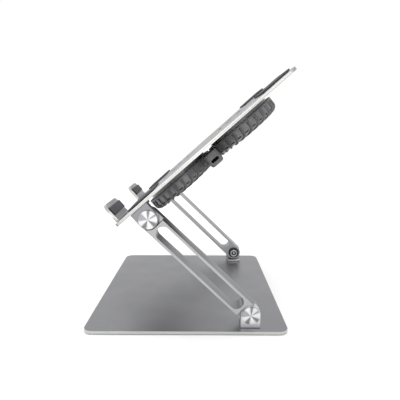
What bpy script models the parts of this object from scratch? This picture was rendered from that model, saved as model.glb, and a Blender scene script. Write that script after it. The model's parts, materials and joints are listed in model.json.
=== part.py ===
"""Folding laptop stand with two cooling fans.

A base plate carries two slotted arms on friction hinges, and the arms carry a tray on a second
pair. Under the tray hang two round fan cages and a small box with the USB-C socket.
Metres, +Z up. The origin is the centre of the base on the desk, and -Y is the user's side.
Right means +X. Each body has its own frame, an empty on its joint's axis.
"""

from math import atan2, cos, hypot, pi, radians, sin, sqrt

import bmesh
import bpy
from mathutils import Matrix, Vector

MM = 0.001
GAP = 0.3 * MM  # air between two pieces that touch

# Base
BASE_WIDTH, BASE_DEPTH, BASE_CORNER = 240 * MM, 210 * MM, 10 * MM
BASE_BOTTOM, BASE_TOP = 1 * MM, 4 * MM
FOOT_RADIUS, FOOT_HEIGHT = 9 * MM, 1.5 * MM
FOOT_INSET = 16 * MM  # foot centre to the base's edges

# Joint lines, as seen from the side
LOWER_AXIS_Y, LOWER_AXIS_Z = 66.5 * MM, 18 * MM
ARM_LENGTH, ARM_ANGLE = 143.5 * MM, radians(44.1)
TRAY_TILT = radians(41.35)
AXIS_TO_TRAY = 14.2 * MM  # upper joint line to the tray's underside

# Arms, brackets and pivots, measured out from the middle of the stand
BRACKET_INNER, KNUCKLE_INNER = 91.5 * MM, 93 * MM
KNUCKLE_OUTER, CHEEK_INNER, CHEEK_OUTER = 103.4 * MM, 103.8 * MM, 112.5 * MM
ARM_HALF_WIDTH, CHEEK_HALF_WIDTH = 9.8 * MM, 10.2 * MM
FLANGE_HALF_WIDTH, FLANGE_THICKNESS = 9.6 * MM, 2.6 * MM
SLOT_HALF_WIDTH, SLOT_MARGIN = 7.3 * MM, 13.2 * MM
CHEEK_CLEARANCE = 10.8 * MM
BOLT_RADIUS, BOLT_HEAD_RADIUS, BOLT_HEAD_HEIGHT = 3 * MM, 6 * MM, 2.6 * MM
CAP_RADIUS, CAP_HEIGHT = 9.3 * MM, 1.2 * MM
EDGE = 0.5 * MM  # machined chamfer

# Tray, measured along its slope from the foot of the upper joint line
TRAY_WIDTH, TRAY_CORNER, TRAY_THICKNESS = 231 * MM, 8 * MM, 3.2 * MM
TRAY_FRONT, TRAY_BACK = -28.7 * MM, 198.4 * MM
HOOK_INNER_X, HOOK_OUTER_X = 41 * MM, 91 * MM
HOOK_RISE, HOOK_CORNER, HOOK_BEND = 21.5 * MM, 8 * MM, 1.2 * MM
HOOK_PAD_LOW = 6.5 * MM  # tray's top to the hook pad's lower edge
PAD_INNER_X, PAD_OUTER_X, PAD_THICKNESS = 47 * MM, 107 * MM, 1.7 * MM
PAD_FRONTS, PAD_DEPTH = {"front": -11.5 * MM, "rear": 161.5 * MM}, 33 * MM

# Fans, hung under the tray
FAN_MIDDLE, FAN_PITCH = 87 * MM, 97.6 * MM
FAN_PLACES = {"front": FAN_MIDDLE - FAN_PITCH / 2, "rear": FAN_MIDDLE + FAN_PITCH / 2}
GUARD_RADIUS, GUARD_DEPTH, GUARD_WALL, GUARD_RIM = 48 * MM, 20.5 * MM, 1.6 * MM, 10.5 * MM
RIB_COUNT, RIB_WIDTH, RIB_SWEEP = 24, 2.2 * MM, radians(60)
FLANGE_INNER_RADIUS, FLANGE_DEPTH = 43.2 * MM, 2.6 * MM
FRAME_OUTER, FRAME_INNER, FRAME_DEPTH = 42.6 * MM, 40.6 * MM, 14 * MM
ROTOR_RADIUS, ROTOR_HUB_RADIUS, ROTOR_TOP, ROTOR_BOTTOM = 39.4 * MM, 13 * MM, 2 * MM, 11.6 * MM
BLADES = 7
FAN_SCREW_RADIUS = 45.9 * MM  # fan centre to its screws

# Control box and what it holds
BOX_INNER_X, BOX_OUTER_X, BOX_HALF_WIDTH, BOX_DEPTH = 29 * MM, 78 * MM, 7.8 * MM, 19 * MM
BOX_WALL, BOX_CORNER = 1.8 * MM, 3 * MM
SOCKET_DEPTH, SOCKET_HALF_WIDTH, SOCKET_HALF_HEIGHT = 9 * MM, 4.8 * MM, 1.7 * MM
BOARD_THICKNESS = 1.2 * MM
LEAD_X, LEAD_RADIUS, LEAD_DEPTH = 31.5 * MM, 0.8 * MM, 6 * MM

SIDES = {"right": 1, "left": -1}


# ---------------------------------------------------------------- outlines


def arc(centre, radius, start, end, steps):
    """Points along an arc, both ends included. Angles in radians."""
    angles = [start + (end - start) * i / steps for i in range(steps + 1)]
    return [(centre[0] + radius * cos(a), centre[1] + radius * sin(a)) for a in angles]


def rounded_rectangle(low, high, radius, steps=4, inset=0.0):
    """Outline between two corners, with round corners, drawn anticlockwise and moved in by the inset."""
    (x0, y0), (x1, y1), r = low, high, radius
    centres = [(x1 - r, y0 + r, -0.5), (x1 - r, y1 - r, 0), (x0 + r, y1 - r, 0.5), (x0 + r, y0 + r, 1)]
    points = []
    for x, y, turn in centres:
        points += arc((x, y), r - inset, turn * pi, (turn + 0.5) * pi, steps)
    return points


def stadium(start, end, radius, steps=8, inset=0.0):
    """A bar with round ends, along the first coordinate from start to end (arc centres)."""
    r = radius - inset
    return arc((end, 0), r, -pi / 2, pi / 2, steps) + arc((start, 0), r, pi / 2, 3 * pi / 2, steps)


def tab(foot, radius, steps=9, inset=0.0):
    """A tab standing on the level foot, its round end about the origin. Upwards when foot < 0."""
    r = radius - inset
    if foot < 0:
        return [(-r, foot), (r, foot)] + arc((0, 0), r, 0, pi, steps)
    return [(r, foot), (-r, foot)] + arc((0, 0), r, pi, 2 * pi, steps)


# ------------------------------------------------------------------ solids


def material(name, colour, roughness, metallic):
    made = bpy.data.materials.new(name)
    made.use_nodes = True
    shader = made.node_tree.nodes["Principled BSDF"]
    shader.inputs["Base Color"].default_value = (*colour, 1)
    shader.inputs["Roughness"].default_value = roughness
    shader.inputs["Metallic"].default_value = metallic
    return made


def new_object(name, mesh):
    made = bpy.data.objects.new(name, mesh)
    bpy.context.scene.collection.objects.link(made)
    return made


def solid(name, bm):
    """Closes a bmesh into an object, with its faces outwards and its round sides smooth."""
    bmesh.ops.remove_doubles(bm, verts=bm.verts, dist=1e-6)
    bmesh.ops.recalc_face_normals(bm, faces=bm.faces)
    mesh = bpy.data.meshes.new(name)
    bm.to_mesh(mesh)
    bm.free()
    mesh.shade_smooth()
    mesh.set_sharp_from_angle(angle=radians(32))
    return new_object(name, mesh)


AXES = {"XY": lambda a, b, h: (a, b, h), "YZ": lambda a, b, h: (h, a, b), "XZ": lambda a, b, h: (a, h, b)}


def loft(name, sections, plane="XY"):
    """A solid through a stack of outlines, each (points, height), capped at both ends."""
    bm = bmesh.new()
    rings = [[bm.verts.new(AXES[plane](a, b, h)) for a, b in points] for points, h in sections]
    for low, high in zip(rings, rings[1:]):
        for i, vert in enumerate(low):
            j = (i + 1) % len(low)
            bm.faces.new((vert, low[j], high[j], high[i]))
    bm.faces.new(reversed(rings[0]))
    bm.faces.new(rings[-1])
    return solid(name, bm)


def prism(name, points, low, high, plane="XY"):
    return loft(name, [(points, low), (points, high)], plane)


def chamfered(name, outline, low, high, plane="XY", edge=EDGE):
    """A prism with both rims chamfered. outline takes the inset of its section."""
    full, small = outline(0.0), outline(edge)
    return loft(name, [(small, low), (full, low + edge), (full, high - edge), (small, high)], plane)


def turned(name, profile, segments=32, closed=False):
    """A solid turned about Z. profile lists (radius, height); an open one ends on the axis."""
    bm = bmesh.new()
    verts = [bm.verts.new((r, 0, z)) for r, z in profile]
    edges = [bm.edges.new(pair) for pair in zip(verts, verts[1:])]
    if closed:
        edges.append(bm.edges.new((verts[-1], verts[0])))
    bmesh.ops.spin(
        bm, geom=verts + edges, cent=(0, 0, 0), axis=(0, 0, 1), angle=2 * pi, steps=segments, use_merge=True
    )
    return solid(name, bm)


def along_x(obj):
    """Turns a piece that stands along Z so that it lies along X."""
    obj.data.transform(Matrix.Rotation(pi / 2, 4, "Y"))
    return obj


def moved(obj, x=0.0, y=0.0, z=0.0):
    obj.data.transform(Matrix.Translation((x, y, z)))
    return obj


def joined(name, pieces):
    """Several solids as one helper mesh, for a single Boolean."""
    bm = bmesh.new()
    for piece in pieces:
        bm.from_mesh(piece.data)
        bpy.data.objects.remove(piece)
    mesh = bpy.data.meshes.new(name)
    bm.to_mesh(mesh)
    bm.free()
    return new_object(name, mesh)


def combine(obj, other, operation):
    """Applies one exact Boolean and removes the other object."""
    modifier = obj.modifiers.new(operation.lower(), "BOOLEAN")
    modifier.object, modifier.operation, modifier.solver = other, operation, "EXACT"
    bpy.context.view_layer.update()
    evaluated = obj.evaluated_get(bpy.context.evaluated_depsgraph_get())
    mesh = bpy.data.meshes.new_from_object(evaluated)
    obj.modifiers.clear()
    obj.data = mesh
    bpy.data.objects.remove(other)
    mesh.shade_smooth()
    mesh.set_sharp_from_angle(angle=radians(32))
    return obj


def cut(obj, *cutters):
    for cutter in cutters:
        combine(obj, cutter, "DIFFERENCE")
    return obj


def add(obj, other):
    return combine(obj, other, "UNION")


def hole(radius, low, high, x=0.0, y=0.0, segments=12):
    """A cutter for a round hole along Z."""
    points = arc((x, y), radius, 0, 2 * pi, segments)[:-1]
    return prism("hole", points, low, high)


def place(obj, name, finish, frame, location=(0, 0, 0)):
    obj.name = obj.data.name = name
    obj.data.materials.clear()
    obj.data.materials.append(finish)
    obj.parent = frame
    obj.location = location
    return obj


def mirrored(obj, name):
    """The left-hand copy of a right-hand piece, in the same frame."""
    mesh = obj.data.copy()
    mesh.transform(Matrix.Scale(-1, 4, (1, 0, 0)))
    mesh.flip_normals()
    copy = new_object(name, mesh)
    mesh.name = name
    copy.parent = obj.parent
    copy.location = (-obj.location.x, obj.location.y, obj.location.z)
    return copy


def frame_at(name, y, z, tilt, parent=None):
    empty = bpy.data.objects.new(name, None)
    bpy.context.scene.collection.objects.link(empty)
    empty.parent = parent
    empty.location = (0, y, z)
    empty.rotation_euler = (tilt, 0, 0)
    return empty


# ------------------------------------------------------------ shared pieces


def countersunk_screw(name, length, head=3.5 * MM, shank=2 * MM):
    """A flat-head screw with a socket in its head, which lies at the origin with its shank along +Z."""
    socket = head * 0.42
    profile = [(0, 0.8 * MM), (socket, 0.8 * MM), (socket, 0), (head, 0), (shank, head - shank)]
    return turned(name, profile + [(shank, length), (0, length)], segments=10)


def screw_seat(x, y, face, depth, direction, head=3.5 * MM, shank=2 * MM):
    """The cutter that a countersunk screw needs. face is where its head ends."""
    wide, narrow = head + GAP, shank + GAP
    profile = [(0, -MM), (wide + MM, -MM), (wide, 0), (narrow, wide - narrow), (narrow, depth), (0, depth)]
    seat = turned("screw_seat", profile, segments=10)
    if direction < 0:
        seat.data.transform(Matrix.Rotation(pi, 4, "X"))
    return moved(seat, x, y, face)


def bolt_bore():
    """The cutter for a pivot bolt and its head in a cheek, about the X axis."""
    seat = CHEEK_OUTER - BOLT_HEAD_HEIGHT - GAP
    wide, narrow = BOLT_HEAD_RADIUS + GAP, BOLT_RADIUS + GAP
    profile = [(0, KNUCKLE_INNER - MM), (narrow, KNUCKLE_INNER - MM), (narrow, seat), (wide, seat)]
    return along_x(turned("bore", profile + [(wide, CHEEK_OUTER + MM), (0, CHEEK_OUTER + MM)], 16))


def pivot_bolt():
    """Shank through cheek and knuckle, a flush head outside, and a threaded tip inside."""
    tip = KNUCKLE_INNER - 4.6 * MM
    head = CHEEK_OUTER - BOLT_HEAD_HEIGHT
    profile = [(0, tip), (1.4 * MM, tip), (1.6 * MM, tip + 0.9 * MM), (BOLT_RADIUS, tip + 0.9 * MM)]
    profile += [(BOLT_RADIUS, head), (BOLT_HEAD_RADIUS, head)]
    profile += [(BOLT_HEAD_RADIUS, CHEEK_OUTER), (0, CHEEK_OUTER)]
    return along_x(turned("pivot_bolt", profile, 16))


def pivot_cap():
    """The turned cover disc over the bolt's head."""
    low, high = CHEEK_OUTER + GAP, CHEEK_OUTER + GAP + CAP_HEIGHT
    rim = CAP_RADIUS - 0.5 * MM
    profile = [(0, low), (CAP_RADIUS, low), (CAP_RADIUS, high - 0.5 * MM), (rim, high), (0, high)]
    return along_x(turned("pivot_cap", profile, 28))


def ring(name, inner, outer, low, high, segments=16):
    edge = 0.2 * MM
    profile = [(inner, low), (outer, low), (outer, high - edge), (outer - edge, high), (inner, high)]
    return along_x(turned(name, profile, segments, closed=True))


def pivot_set(level, frame, location, finishes):
    """Bolt, cap, friction washer and nut of one joint, on both sides."""
    washer_high = KNUCKLE_INNER - GAP
    nut_high = washer_high - 1.2 * MM - GAP
    bore = BOLT_RADIUS + GAP
    pieces = {
        "bolt": (pivot_bolt(), "steel"),
        "cap": (pivot_cap(), "bright_steel"),
        "washer": (ring("washer", bore, 8 * MM, washer_high - 1.2 * MM, washer_high), "black_steel"),
        "nut": (ring("nut", bore, 5.3 * MM, nut_high - 2.2 * MM, nut_high), "steel"),
    }
    for kind, (piece, finish) in pieces.items():
        right = place(piece, f"{level}_{kind}_right", finishes[finish], frame, location)
        mirrored(right, f"{level}_{kind}_left")


def bracket(foot, screw_face, direction):
    """A cheek with a flange at its foot, about the joint line.

    direction is the way from the foot to the cheek's round end, +1 for up.
    """
    cheek = chamfered(
        "bracket", lambda inset: tab(foot, CHEEK_HALF_WIDTH, inset=inset), CHEEK_INNER, CHEEK_OUTER, "YZ"
    )
    near, far = foot, foot + direction * FLANGE_THICKNESS
    outline = rounded_rectangle(
        (BRACKET_INNER, -FLANGE_HALF_WIDTH), (CHEEK_INNER + 3 * MM, FLANGE_HALF_WIDTH), 1.5 * MM
    )
    add(cheek, prism("flange", outline, min(near, far), max(near, far)))
    cut(cheek, bolt_bore())
    screw_x = (BRACKET_INNER + CHEEK_INNER) / 2
    for y in (-5.2 * MM, 5.2 * MM):
        cut(cheek, hole(2.3 * MM, *sorted((screw_face, near + direction * 1.8 * MM)), screw_x, y, 10))
    return cheek


# -------------------------------------------------------------------- base


def make_base(frame, finishes):
    half_width, half_depth = BASE_WIDTH / 2, BASE_DEPTH / 2
    plate = chamfered(
        "base_plate",
        lambda inset: rounded_rectangle(
            (-half_width, -half_depth), (half_width, half_depth), BASE_CORNER, 6, inset
        ),
        BASE_BOTTOM,
        BASE_TOP,
    )
    foot_x, foot_y = half_width - FOOT_INSET, half_depth - FOOT_INSET
    for row, y in (("front", -foot_y), ("rear", foot_y)):
        for side, sign in SIDES.items():
            cut(plate, hole(FOOT_RADIUS + GAP, -MM, FOOT_HEIGHT + GAP, sign * foot_x, y, 16))
            low = FOOT_RADIUS - 0.3 * MM
            profile = [(0, 0), (low, 0), (FOOT_RADIUS, 0.3 * MM), (FOOT_RADIUS, FOOT_HEIGHT)]
            foot = turned("foot", profile + [(0, FOOT_HEIGHT)], 16)
            place(foot, f"foot_{row}_{side}", finishes["rubber"], frame, (sign * foot_x, y, 0))
    screw_x = (BRACKET_INNER + CHEEK_INNER) / 2
    for row, y in (("front", LOWER_AXIS_Y - 5.2 * MM), ("rear", LOWER_AXIS_Y + 5.2 * MM)):
        for side, sign in SIDES.items():
            cut(plate, screw_seat(sign * screw_x, y, BASE_BOTTOM, 5 * MM, 1))
            screw = countersunk_screw("screw", 4.7 * MM)
            seat = (sign * screw_x, y, BASE_BOTTOM + 0.1 * MM)
            place(screw, f"base_screw_{row}_{side}", finishes["steel"], frame, seat)
    place(plate, "base_plate", finishes["grey_aluminium"], frame)


def make_lower_brackets(frame, finishes):
    foot = BASE_TOP + GAP - LOWER_AXIS_Z
    shape = bracket(foot, foot - MM, 1)
    right = place(
        shape, "lower_bracket_right", finishes["grey_aluminium"], frame, (0, LOWER_AXIS_Y, LOWER_AXIS_Z)
    )
    mirrored(right, "lower_bracket_left")


# -------------------------------------------------------------------- arms


def cheek_cutter(flip):
    """Takes the outer half of an arm's end away, so that the cheek has room through the whole swing.

    It follows the cheek's round end above the joint line and stands square below it, where the
    cheek comes when the stand is folded flat.
    """
    beyond = 16 * MM
    points = [(-CHEEK_CLEARANCE, -beyond)] + arc((0, 0), CHEEK_CLEARANCE, pi, pi / 2, 8)
    points += [(0, beyond), (beyond, beyond), (beyond, -beyond)]
    if flip:
        points = [(-ARM_LENGTH - y, -z) for y, z in points]
    return prism("cheek_cutter", points, KNUCKLE_OUTER, CHEEK_OUTER + MM, "YZ")


def slot_cutter():
    """The long window in the arm, flared at both faces to leave a bright chamfer."""
    first = -ARM_LENGTH + SLOT_MARGIN + SLOT_HALF_WIDTH
    last = -SLOT_MARGIN - SLOT_HALF_WIDTH
    plain, flared = stadium(first, last, SLOT_HALF_WIDTH), stadium(first, last, SLOT_HALF_WIDTH + EDGE + MM)
    sections = [(flared, KNUCKLE_INNER - MM), (plain, KNUCKLE_INNER + EDGE)]
    sections += [(plain, CHEEK_OUTER - EDGE), (flared, CHEEK_OUTER + MM)]
    return loft("slot_cutter", sections, "YZ")


def make_arms(frame, finishes):
    """The arm lies along -Y of its frame, from the lower joint line to the upper one."""
    arm = chamfered(
        "arm",
        lambda inset: stadium(-ARM_LENGTH, 0, ARM_HALF_WIDTH, 9, inset),
        KNUCKLE_INNER,
        CHEEK_OUTER,
        "YZ",
    )
    cut(arm, slot_cutter(), cheek_cutter(False), cheek_cutter(True))
    for y in (0, -ARM_LENGTH):
        circle = arc((y, 0), BOLT_RADIUS + GAP, 0, 2 * pi, 16)[:-1]
        cut(arm, prism("bore", circle, KNUCKLE_INNER - MM, KNUCKLE_OUTER + MM, "YZ"))
    right = place(arm, "arm_right", finishes["grey_aluminium"], frame)
    mirrored(right, "arm_left")


# -------------------------------------------------------------------- tray


def swept_slot(centre_y, inner, outer, angle, width, sweep):
    """Outline of one vent: a slot that leans over as it runs outwards from the fan's centre."""
    steps = 2
    one, other = [], []
    for i in range(steps + 1):
        r = inner + (outer - inner) * i / steps
        lean = angle + sweep * i / steps
        half = (width / 2) / r
        one.append((r * cos(lean - half), centre_y + r * sin(lean - half)))
        other.append((r * cos(lean + half), centre_y + r * sin(lean + half)))
    return one + other[::-1]


def vent_cutter():
    """All air slots of both fans, as one cutter."""
    low, high = AXIS_TO_TRAY - MM, AXIS_TO_TRAY + TRAY_THICKNESS + MM
    rings = [(9 * MM, 20 * MM, 6, 4 * MM), (24 * MM, 38.5 * MM, 12, 6.4 * MM)]
    slots = []
    for centre in FAN_PLACES.values():
        for inner, outer, count, width in rings:
            for i in range(count):
                outline = swept_slot(centre, inner, outer, 2 * pi * i / count, width, radians(22))
                slots.append(prism("vent", outline, low, high))
    return joined("vent_cutter", slots)


def hook(side):
    """A stop at the tray's front: the plate bent up square, with round top corners."""
    top = AXIS_TO_TRAY + TRAY_THICKNESS
    bend_y, bend_z = TRAY_FRONT + HOOK_BEND, top + HOOK_BEND
    inside = arc((bend_y, bend_z), HOOK_BEND, -pi / 2, -pi, 4)
    outside = arc((bend_y, bend_z), HOOK_BEND + TRAY_THICKNESS, -pi, -pi / 2, 6)
    tip = top + HOOK_RISE
    root = TRAY_FRONT + 6 * MM
    profile = [(root, top)] + inside + [(TRAY_FRONT, tip), (TRAY_FRONT - TRAY_THICKNESS, tip)]
    profile += outside + [(root, AXIS_TO_TRAY)]
    shape = prism("hook", profile, HOOK_INNER_X, HOOK_OUTER_X, "YZ")
    bm = bmesh.new()
    bm.from_mesh(shape.data)
    corners = [
        edge
        for edge in bm.edges
        if all(vert.co.z > tip - EDGE for vert in edge.verts)
        and abs(edge.verts[0].co.x - edge.verts[1].co.x) < EDGE
    ]
    bmesh.ops.bevel(bm, geom=corners, offset=HOOK_CORNER, segments=5, profile=0.5, affect="EDGES")
    bm.to_mesh(shape.data)
    bm.free()
    if side < 0:
        shape.data.transform(Matrix.Scale(-1, 4, (1, 0, 0)))
        shape.data.flip_normals()
    return shape


def make_tray_plate(frame, finishes):
    half = TRAY_WIDTH / 2
    plate = chamfered(
        "tray_plate",
        lambda inset: rounded_rectangle((-half, TRAY_FRONT), (half, TRAY_BACK), TRAY_CORNER, 6, inset),
        AXIS_TO_TRAY,
        AXIS_TO_TRAY + TRAY_THICKNESS,
        edge=0.4 * MM,
    )
    for sign in SIDES.values():
        add(plate, hook(sign))
    cut(plate, vent_cutter())
    top = AXIS_TO_TRAY + TRAY_THICKNESS
    screw_x = (BRACKET_INNER + CHEEK_INNER) / 2
    for row, y in (("front", -5.2 * MM), ("rear", 5.2 * MM)):
        for side, sign in SIDES.items():
            cut(plate, screw_seat(sign * screw_x, y, top, 5 * MM, -1))
            screw = countersunk_screw("screw", 4.9 * MM)
            screw.data.transform(Matrix.Rotation(pi, 4, "X"))
            seat = (sign * screw_x, y, top - 0.1 * MM)
            place(screw, f"tray_screw_{row}_{side}", finishes["steel"], frame, seat)
    for row, centre in FAN_PLACES.items():
        for side, sign in SIDES.items():
            cut(plate, screw_seat(sign * FAN_SCREW_RADIUS, centre, top, 5 * MM, -1, 2.4 * MM, 1.2 * MM))
            screw = countersunk_screw("screw", 5.4 * MM, 2.4 * MM, 1.2 * MM)
            screw.data.transform(Matrix.Rotation(pi, 4, "X"))
            seat = (sign * FAN_SCREW_RADIUS, centre, top - 0.1 * MM)
            place(screw, f"fan_screw_{row}_{side}", finishes["steel"], frame, seat)
    place(plate, "tray_plate", finishes["grey_aluminium"], frame)


def make_pads(frame, finishes):
    """Rubber pads on the tray and on the inner faces of its two hooks."""
    low = AXIS_TO_TRAY + TRAY_THICKNESS + GAP
    for row, front in PAD_FRONTS.items():
        pad = chamfered(
            "tray_pad",
            lambda inset: rounded_rectangle(
                (PAD_INNER_X, front), (PAD_OUTER_X, front + PAD_DEPTH), 4 * MM, 3, inset
            ),
            low,
            low + PAD_THICKNESS,
            edge=0.3 * MM,
        )
        right = place(pad, f"tray_pad_{row}_right", finishes["rubber"], frame)
        mirrored(right, f"tray_pad_{row}_left")
    top = AXIS_TO_TRAY + TRAY_THICKNESS
    margin, near = 2.2 * MM, TRAY_FRONT + GAP
    corner_low = (HOOK_INNER_X + margin, top + HOOK_PAD_LOW)
    corner_high = (HOOK_OUTER_X - margin, top + HOOK_RISE - margin)
    pad = chamfered(
        "hook_pad",
        lambda inset: rounded_rectangle(corner_low, corner_high, 5.5 * MM, 4, inset),
        near,
        near + 1.5 * MM,
        "XZ",
        edge=0.3 * MM,
    )
    right = place(pad, "hook_pad_right", finishes["rubber"], frame)
    mirrored(right, "hook_pad_left")


def make_upper_brackets(frame, finishes):
    foot = AXIS_TO_TRAY - GAP
    shape = bracket(foot, foot + MM, -1)
    right = place(shape, "upper_bracket_right", finishes["grey_aluminium"], frame)
    mirrored(right, "upper_bracket_left")


# -------------------------------------------------------------------- fans


def guard_profile():
    """Outer line of the cage from its flange to its hub: (radius, depth below the tray, hoop follows)."""
    bottom = GUARD_DEPTH
    rim = arc((GUARD_RADIUS - GUARD_RIM, bottom - GUARD_RIM), GUARD_RIM, 0, pi / 2, 3)
    points = [(GUARD_RADIUS, GAP, True), (GUARD_RADIUS, FLANGE_DEPTH + GAP, False)]
    points += [(r, depth, False) for r, depth in rim]
    points += [(26.5 * MM, bottom, True), (24 * MM, bottom, False)]
    points += [(14.5 * MM, bottom, True), (12 * MM, bottom, True)]
    return points


def guard_wall():
    """Outer and inner points of each station along the cage's profile."""
    outer = [(r, depth) for r, depth, _ in guard_profile()]
    inner = []
    for i, (r, depth) in enumerate(outer):
        before, after = outer[max(i - 1, 0)], outer[min(i + 1, len(outer) - 1)]
        along = (after[0] - before[0], after[1] - before[1])
        size = hypot(*along)
        inner.append((r - GUARD_WALL * along[1] / size, depth + GUARD_WALL * along[0] / size))
    for i in (0, 1):
        inner[i] = (FLANGE_INNER_RADIUS, outer[i][1])
    return outer, inner


def rib_angle(radius):
    """How far a rib has leaned round the fan's axis where it has come in to this radius."""
    return -RIB_SWEEP * (GUARD_RADIUS - radius) / GUARD_RADIUS


def guard_mesh():
    """The cage as one wall, open between its ribs except at the flange, a hoop and the hub."""
    outer, inner = guard_wall()
    stations = len(outer)
    closed = {i for i, (_, _, hoop) in enumerate(guard_profile()) if hoop}
    bm = bmesh.new()
    grid = []
    for i in range(stations):
        lean = rib_angle(outer[i][0])
        rows = []
        for j in range(2 * RIB_COUNT):
            half = RIB_WIDTH / 2 / max(outer[i][0], 25 * MM)
            angle = 2 * pi * (j // 2) / RIB_COUNT + lean + (half if j % 2 else -half)
            rows.append(
                [bm.verts.new((r * cos(angle), r * sin(angle), -d)) for r, d in (outer[i], inner[i])]
            )
        grid.append(rows)
    hub = [bm.verts.new((0, 0, -outer[-1][1])), bm.verts.new((0, 0, -inner[-1][1]))]

    def filled(i, j):
        return 0 <= i < stations - 1 and (j % 2 == 0 or i in closed)

    count = 2 * RIB_COUNT
    for j in range(count):
        k = (j + 1) % count
        for i in range(stations - 1):
            if not filled(i, j):
                continue
            for skin in (0, 1):
                bm.faces.new((grid[i][j][skin], grid[i + 1][j][skin], grid[i + 1][k][skin], grid[i][k][skin]))
            for edge_column, neighbour in ((j, (j - 1) % count), (k, k)):
                if not filled(i, neighbour):
                    a, b = grid[i][edge_column], grid[i + 1][edge_column]
                    bm.faces.new((a[0], b[0], b[1], a[1]))
            for edge_row, neighbour in ((i, i - 1), (i + 1, i + 1)):
                if not filled(neighbour, j) and edge_row != stations - 1:
                    a, b = grid[edge_row][j], grid[edge_row][k]
                    bm.faces.new((a[0], b[0], b[1], a[1]))
        for skin in (0, 1):
            bm.faces.new((grid[-1][j][skin], grid[-1][k][skin], hub[skin]))
    return solid("guard", bm)


def fan_frame():
    """The fan's own ring, with three struts that carry the motor plate at its far end."""
    low, high = -FRAME_DEPTH, -1 * MM
    frame = turned(
        "fan_frame",
        [(FRAME_INNER, low), (FRAME_OUTER, low), (FRAME_OUTER, high), (FRAME_INNER, high)],
        40,
        closed=True,
    )
    plate_low, plate_high = low, low + 1.6 * MM
    struts = []
    for i in range(3):
        strut = prism(
            "strut",
            rounded_rectangle((8 * MM, -1.8 * MM), (FRAME_INNER + 0.8 * MM, 1.8 * MM), 0.4 * MM, 1),
            plate_low + 0.2 * MM,
            plate_high - 0.1 * MM,
        )
        strut.data.transform(Matrix.Rotation(2 * pi * (i + 0.25) / 3, 4, "Z"))
        struts.append(strut)
    outline = [(0, plate_low), (12 * MM, plate_low), (12 * MM, plate_high), (0, plate_high)]
    plate = turned("motor_plate", outline, 20)
    for strut in struts:
        add(plate, strut)
    return add(frame, plate)


def blade(index):
    """One swept blade, thicker at its root, which starts inside the hub."""
    bm = bmesh.new()
    sections = []
    for step in range(4):
        t = step / 3
        radius = ROTOR_HUB_RADIUS - MM + (ROTOR_RADIUS - ROTOR_HUB_RADIUS + MM) * t
        pitch = radians(38 - 14 * t)
        chord, thick = (9.5 + 7 * t) * MM, (1.5 - 0.6 * t) * MM
        middle = -(ROTOR_TOP + ROTOR_BOTTOM) / 2
        turn = 2 * pi * index / BLADES + radians(26) * t
        out = Vector((cos(turn), sin(turn), 0))
        side = Vector((-sin(turn), cos(turn), 0))
        run = side * cos(pitch) + Vector((0, 0, sin(pitch)))
        up = Vector((0, 0, cos(pitch))) - side * sin(pitch)
        centre = out * radius + Vector((0, 0, middle))
        corners = ((-0.5, -0.5), (0.5, -0.5), (0.5, 0.5), (-0.5, 0.5))
        sections.append([bm.verts.new(centre + run * chord * a + up * thick * b) for a, b in corners])
    for low, high in zip(sections, sections[1:]):
        for i in range(4):
            j = (i + 1) % 4
            bm.faces.new((low[i], low[j], high[j], high[i]))
    bm.faces.new(sections[0])
    bm.faces.new(sections[-1])
    return solid("blade", bm)


def fan_rotor():
    """A hub cup with seven blades, about Z."""
    low, high, edge = -ROTOR_BOTTOM, -ROTOR_TOP, 0.8 * MM
    r = ROTOR_HUB_RADIUS
    rotor = turned("fan_rotor", [(0, low), (r, low), (r, high - edge), (r - edge, high), (0, high)], 24)
    for index in range(BLADES):
        add(rotor, blade(index))
    return rotor


def make_fans(tray_frame, finishes):
    for row, centre in FAN_PLACES.items():
        place_at = (0, centre, AXIS_TO_TRAY)
        guard = guard_mesh()
        for sign in SIDES.values():
            cut(guard, hole(1.2 * MM + GAP, -4 * MM, MM, sign * FAN_SCREW_RADIUS, 0, 10))
        place(guard, f"fan_guard_{row}", finishes["grey_plastic"], tray_frame, place_at)
        place(fan_frame(), f"fan_frame_{row}", finishes["grey_plastic"], tray_frame, place_at)
        spindle = frame_at(f"fan_axis_{row}", centre, AXIS_TO_TRAY, 0, tray_frame)
        place(fan_rotor(), f"fan_rotor_{row}", finishes["black_plastic"], spindle)


# ------------------------------------------------------------- control box


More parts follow.
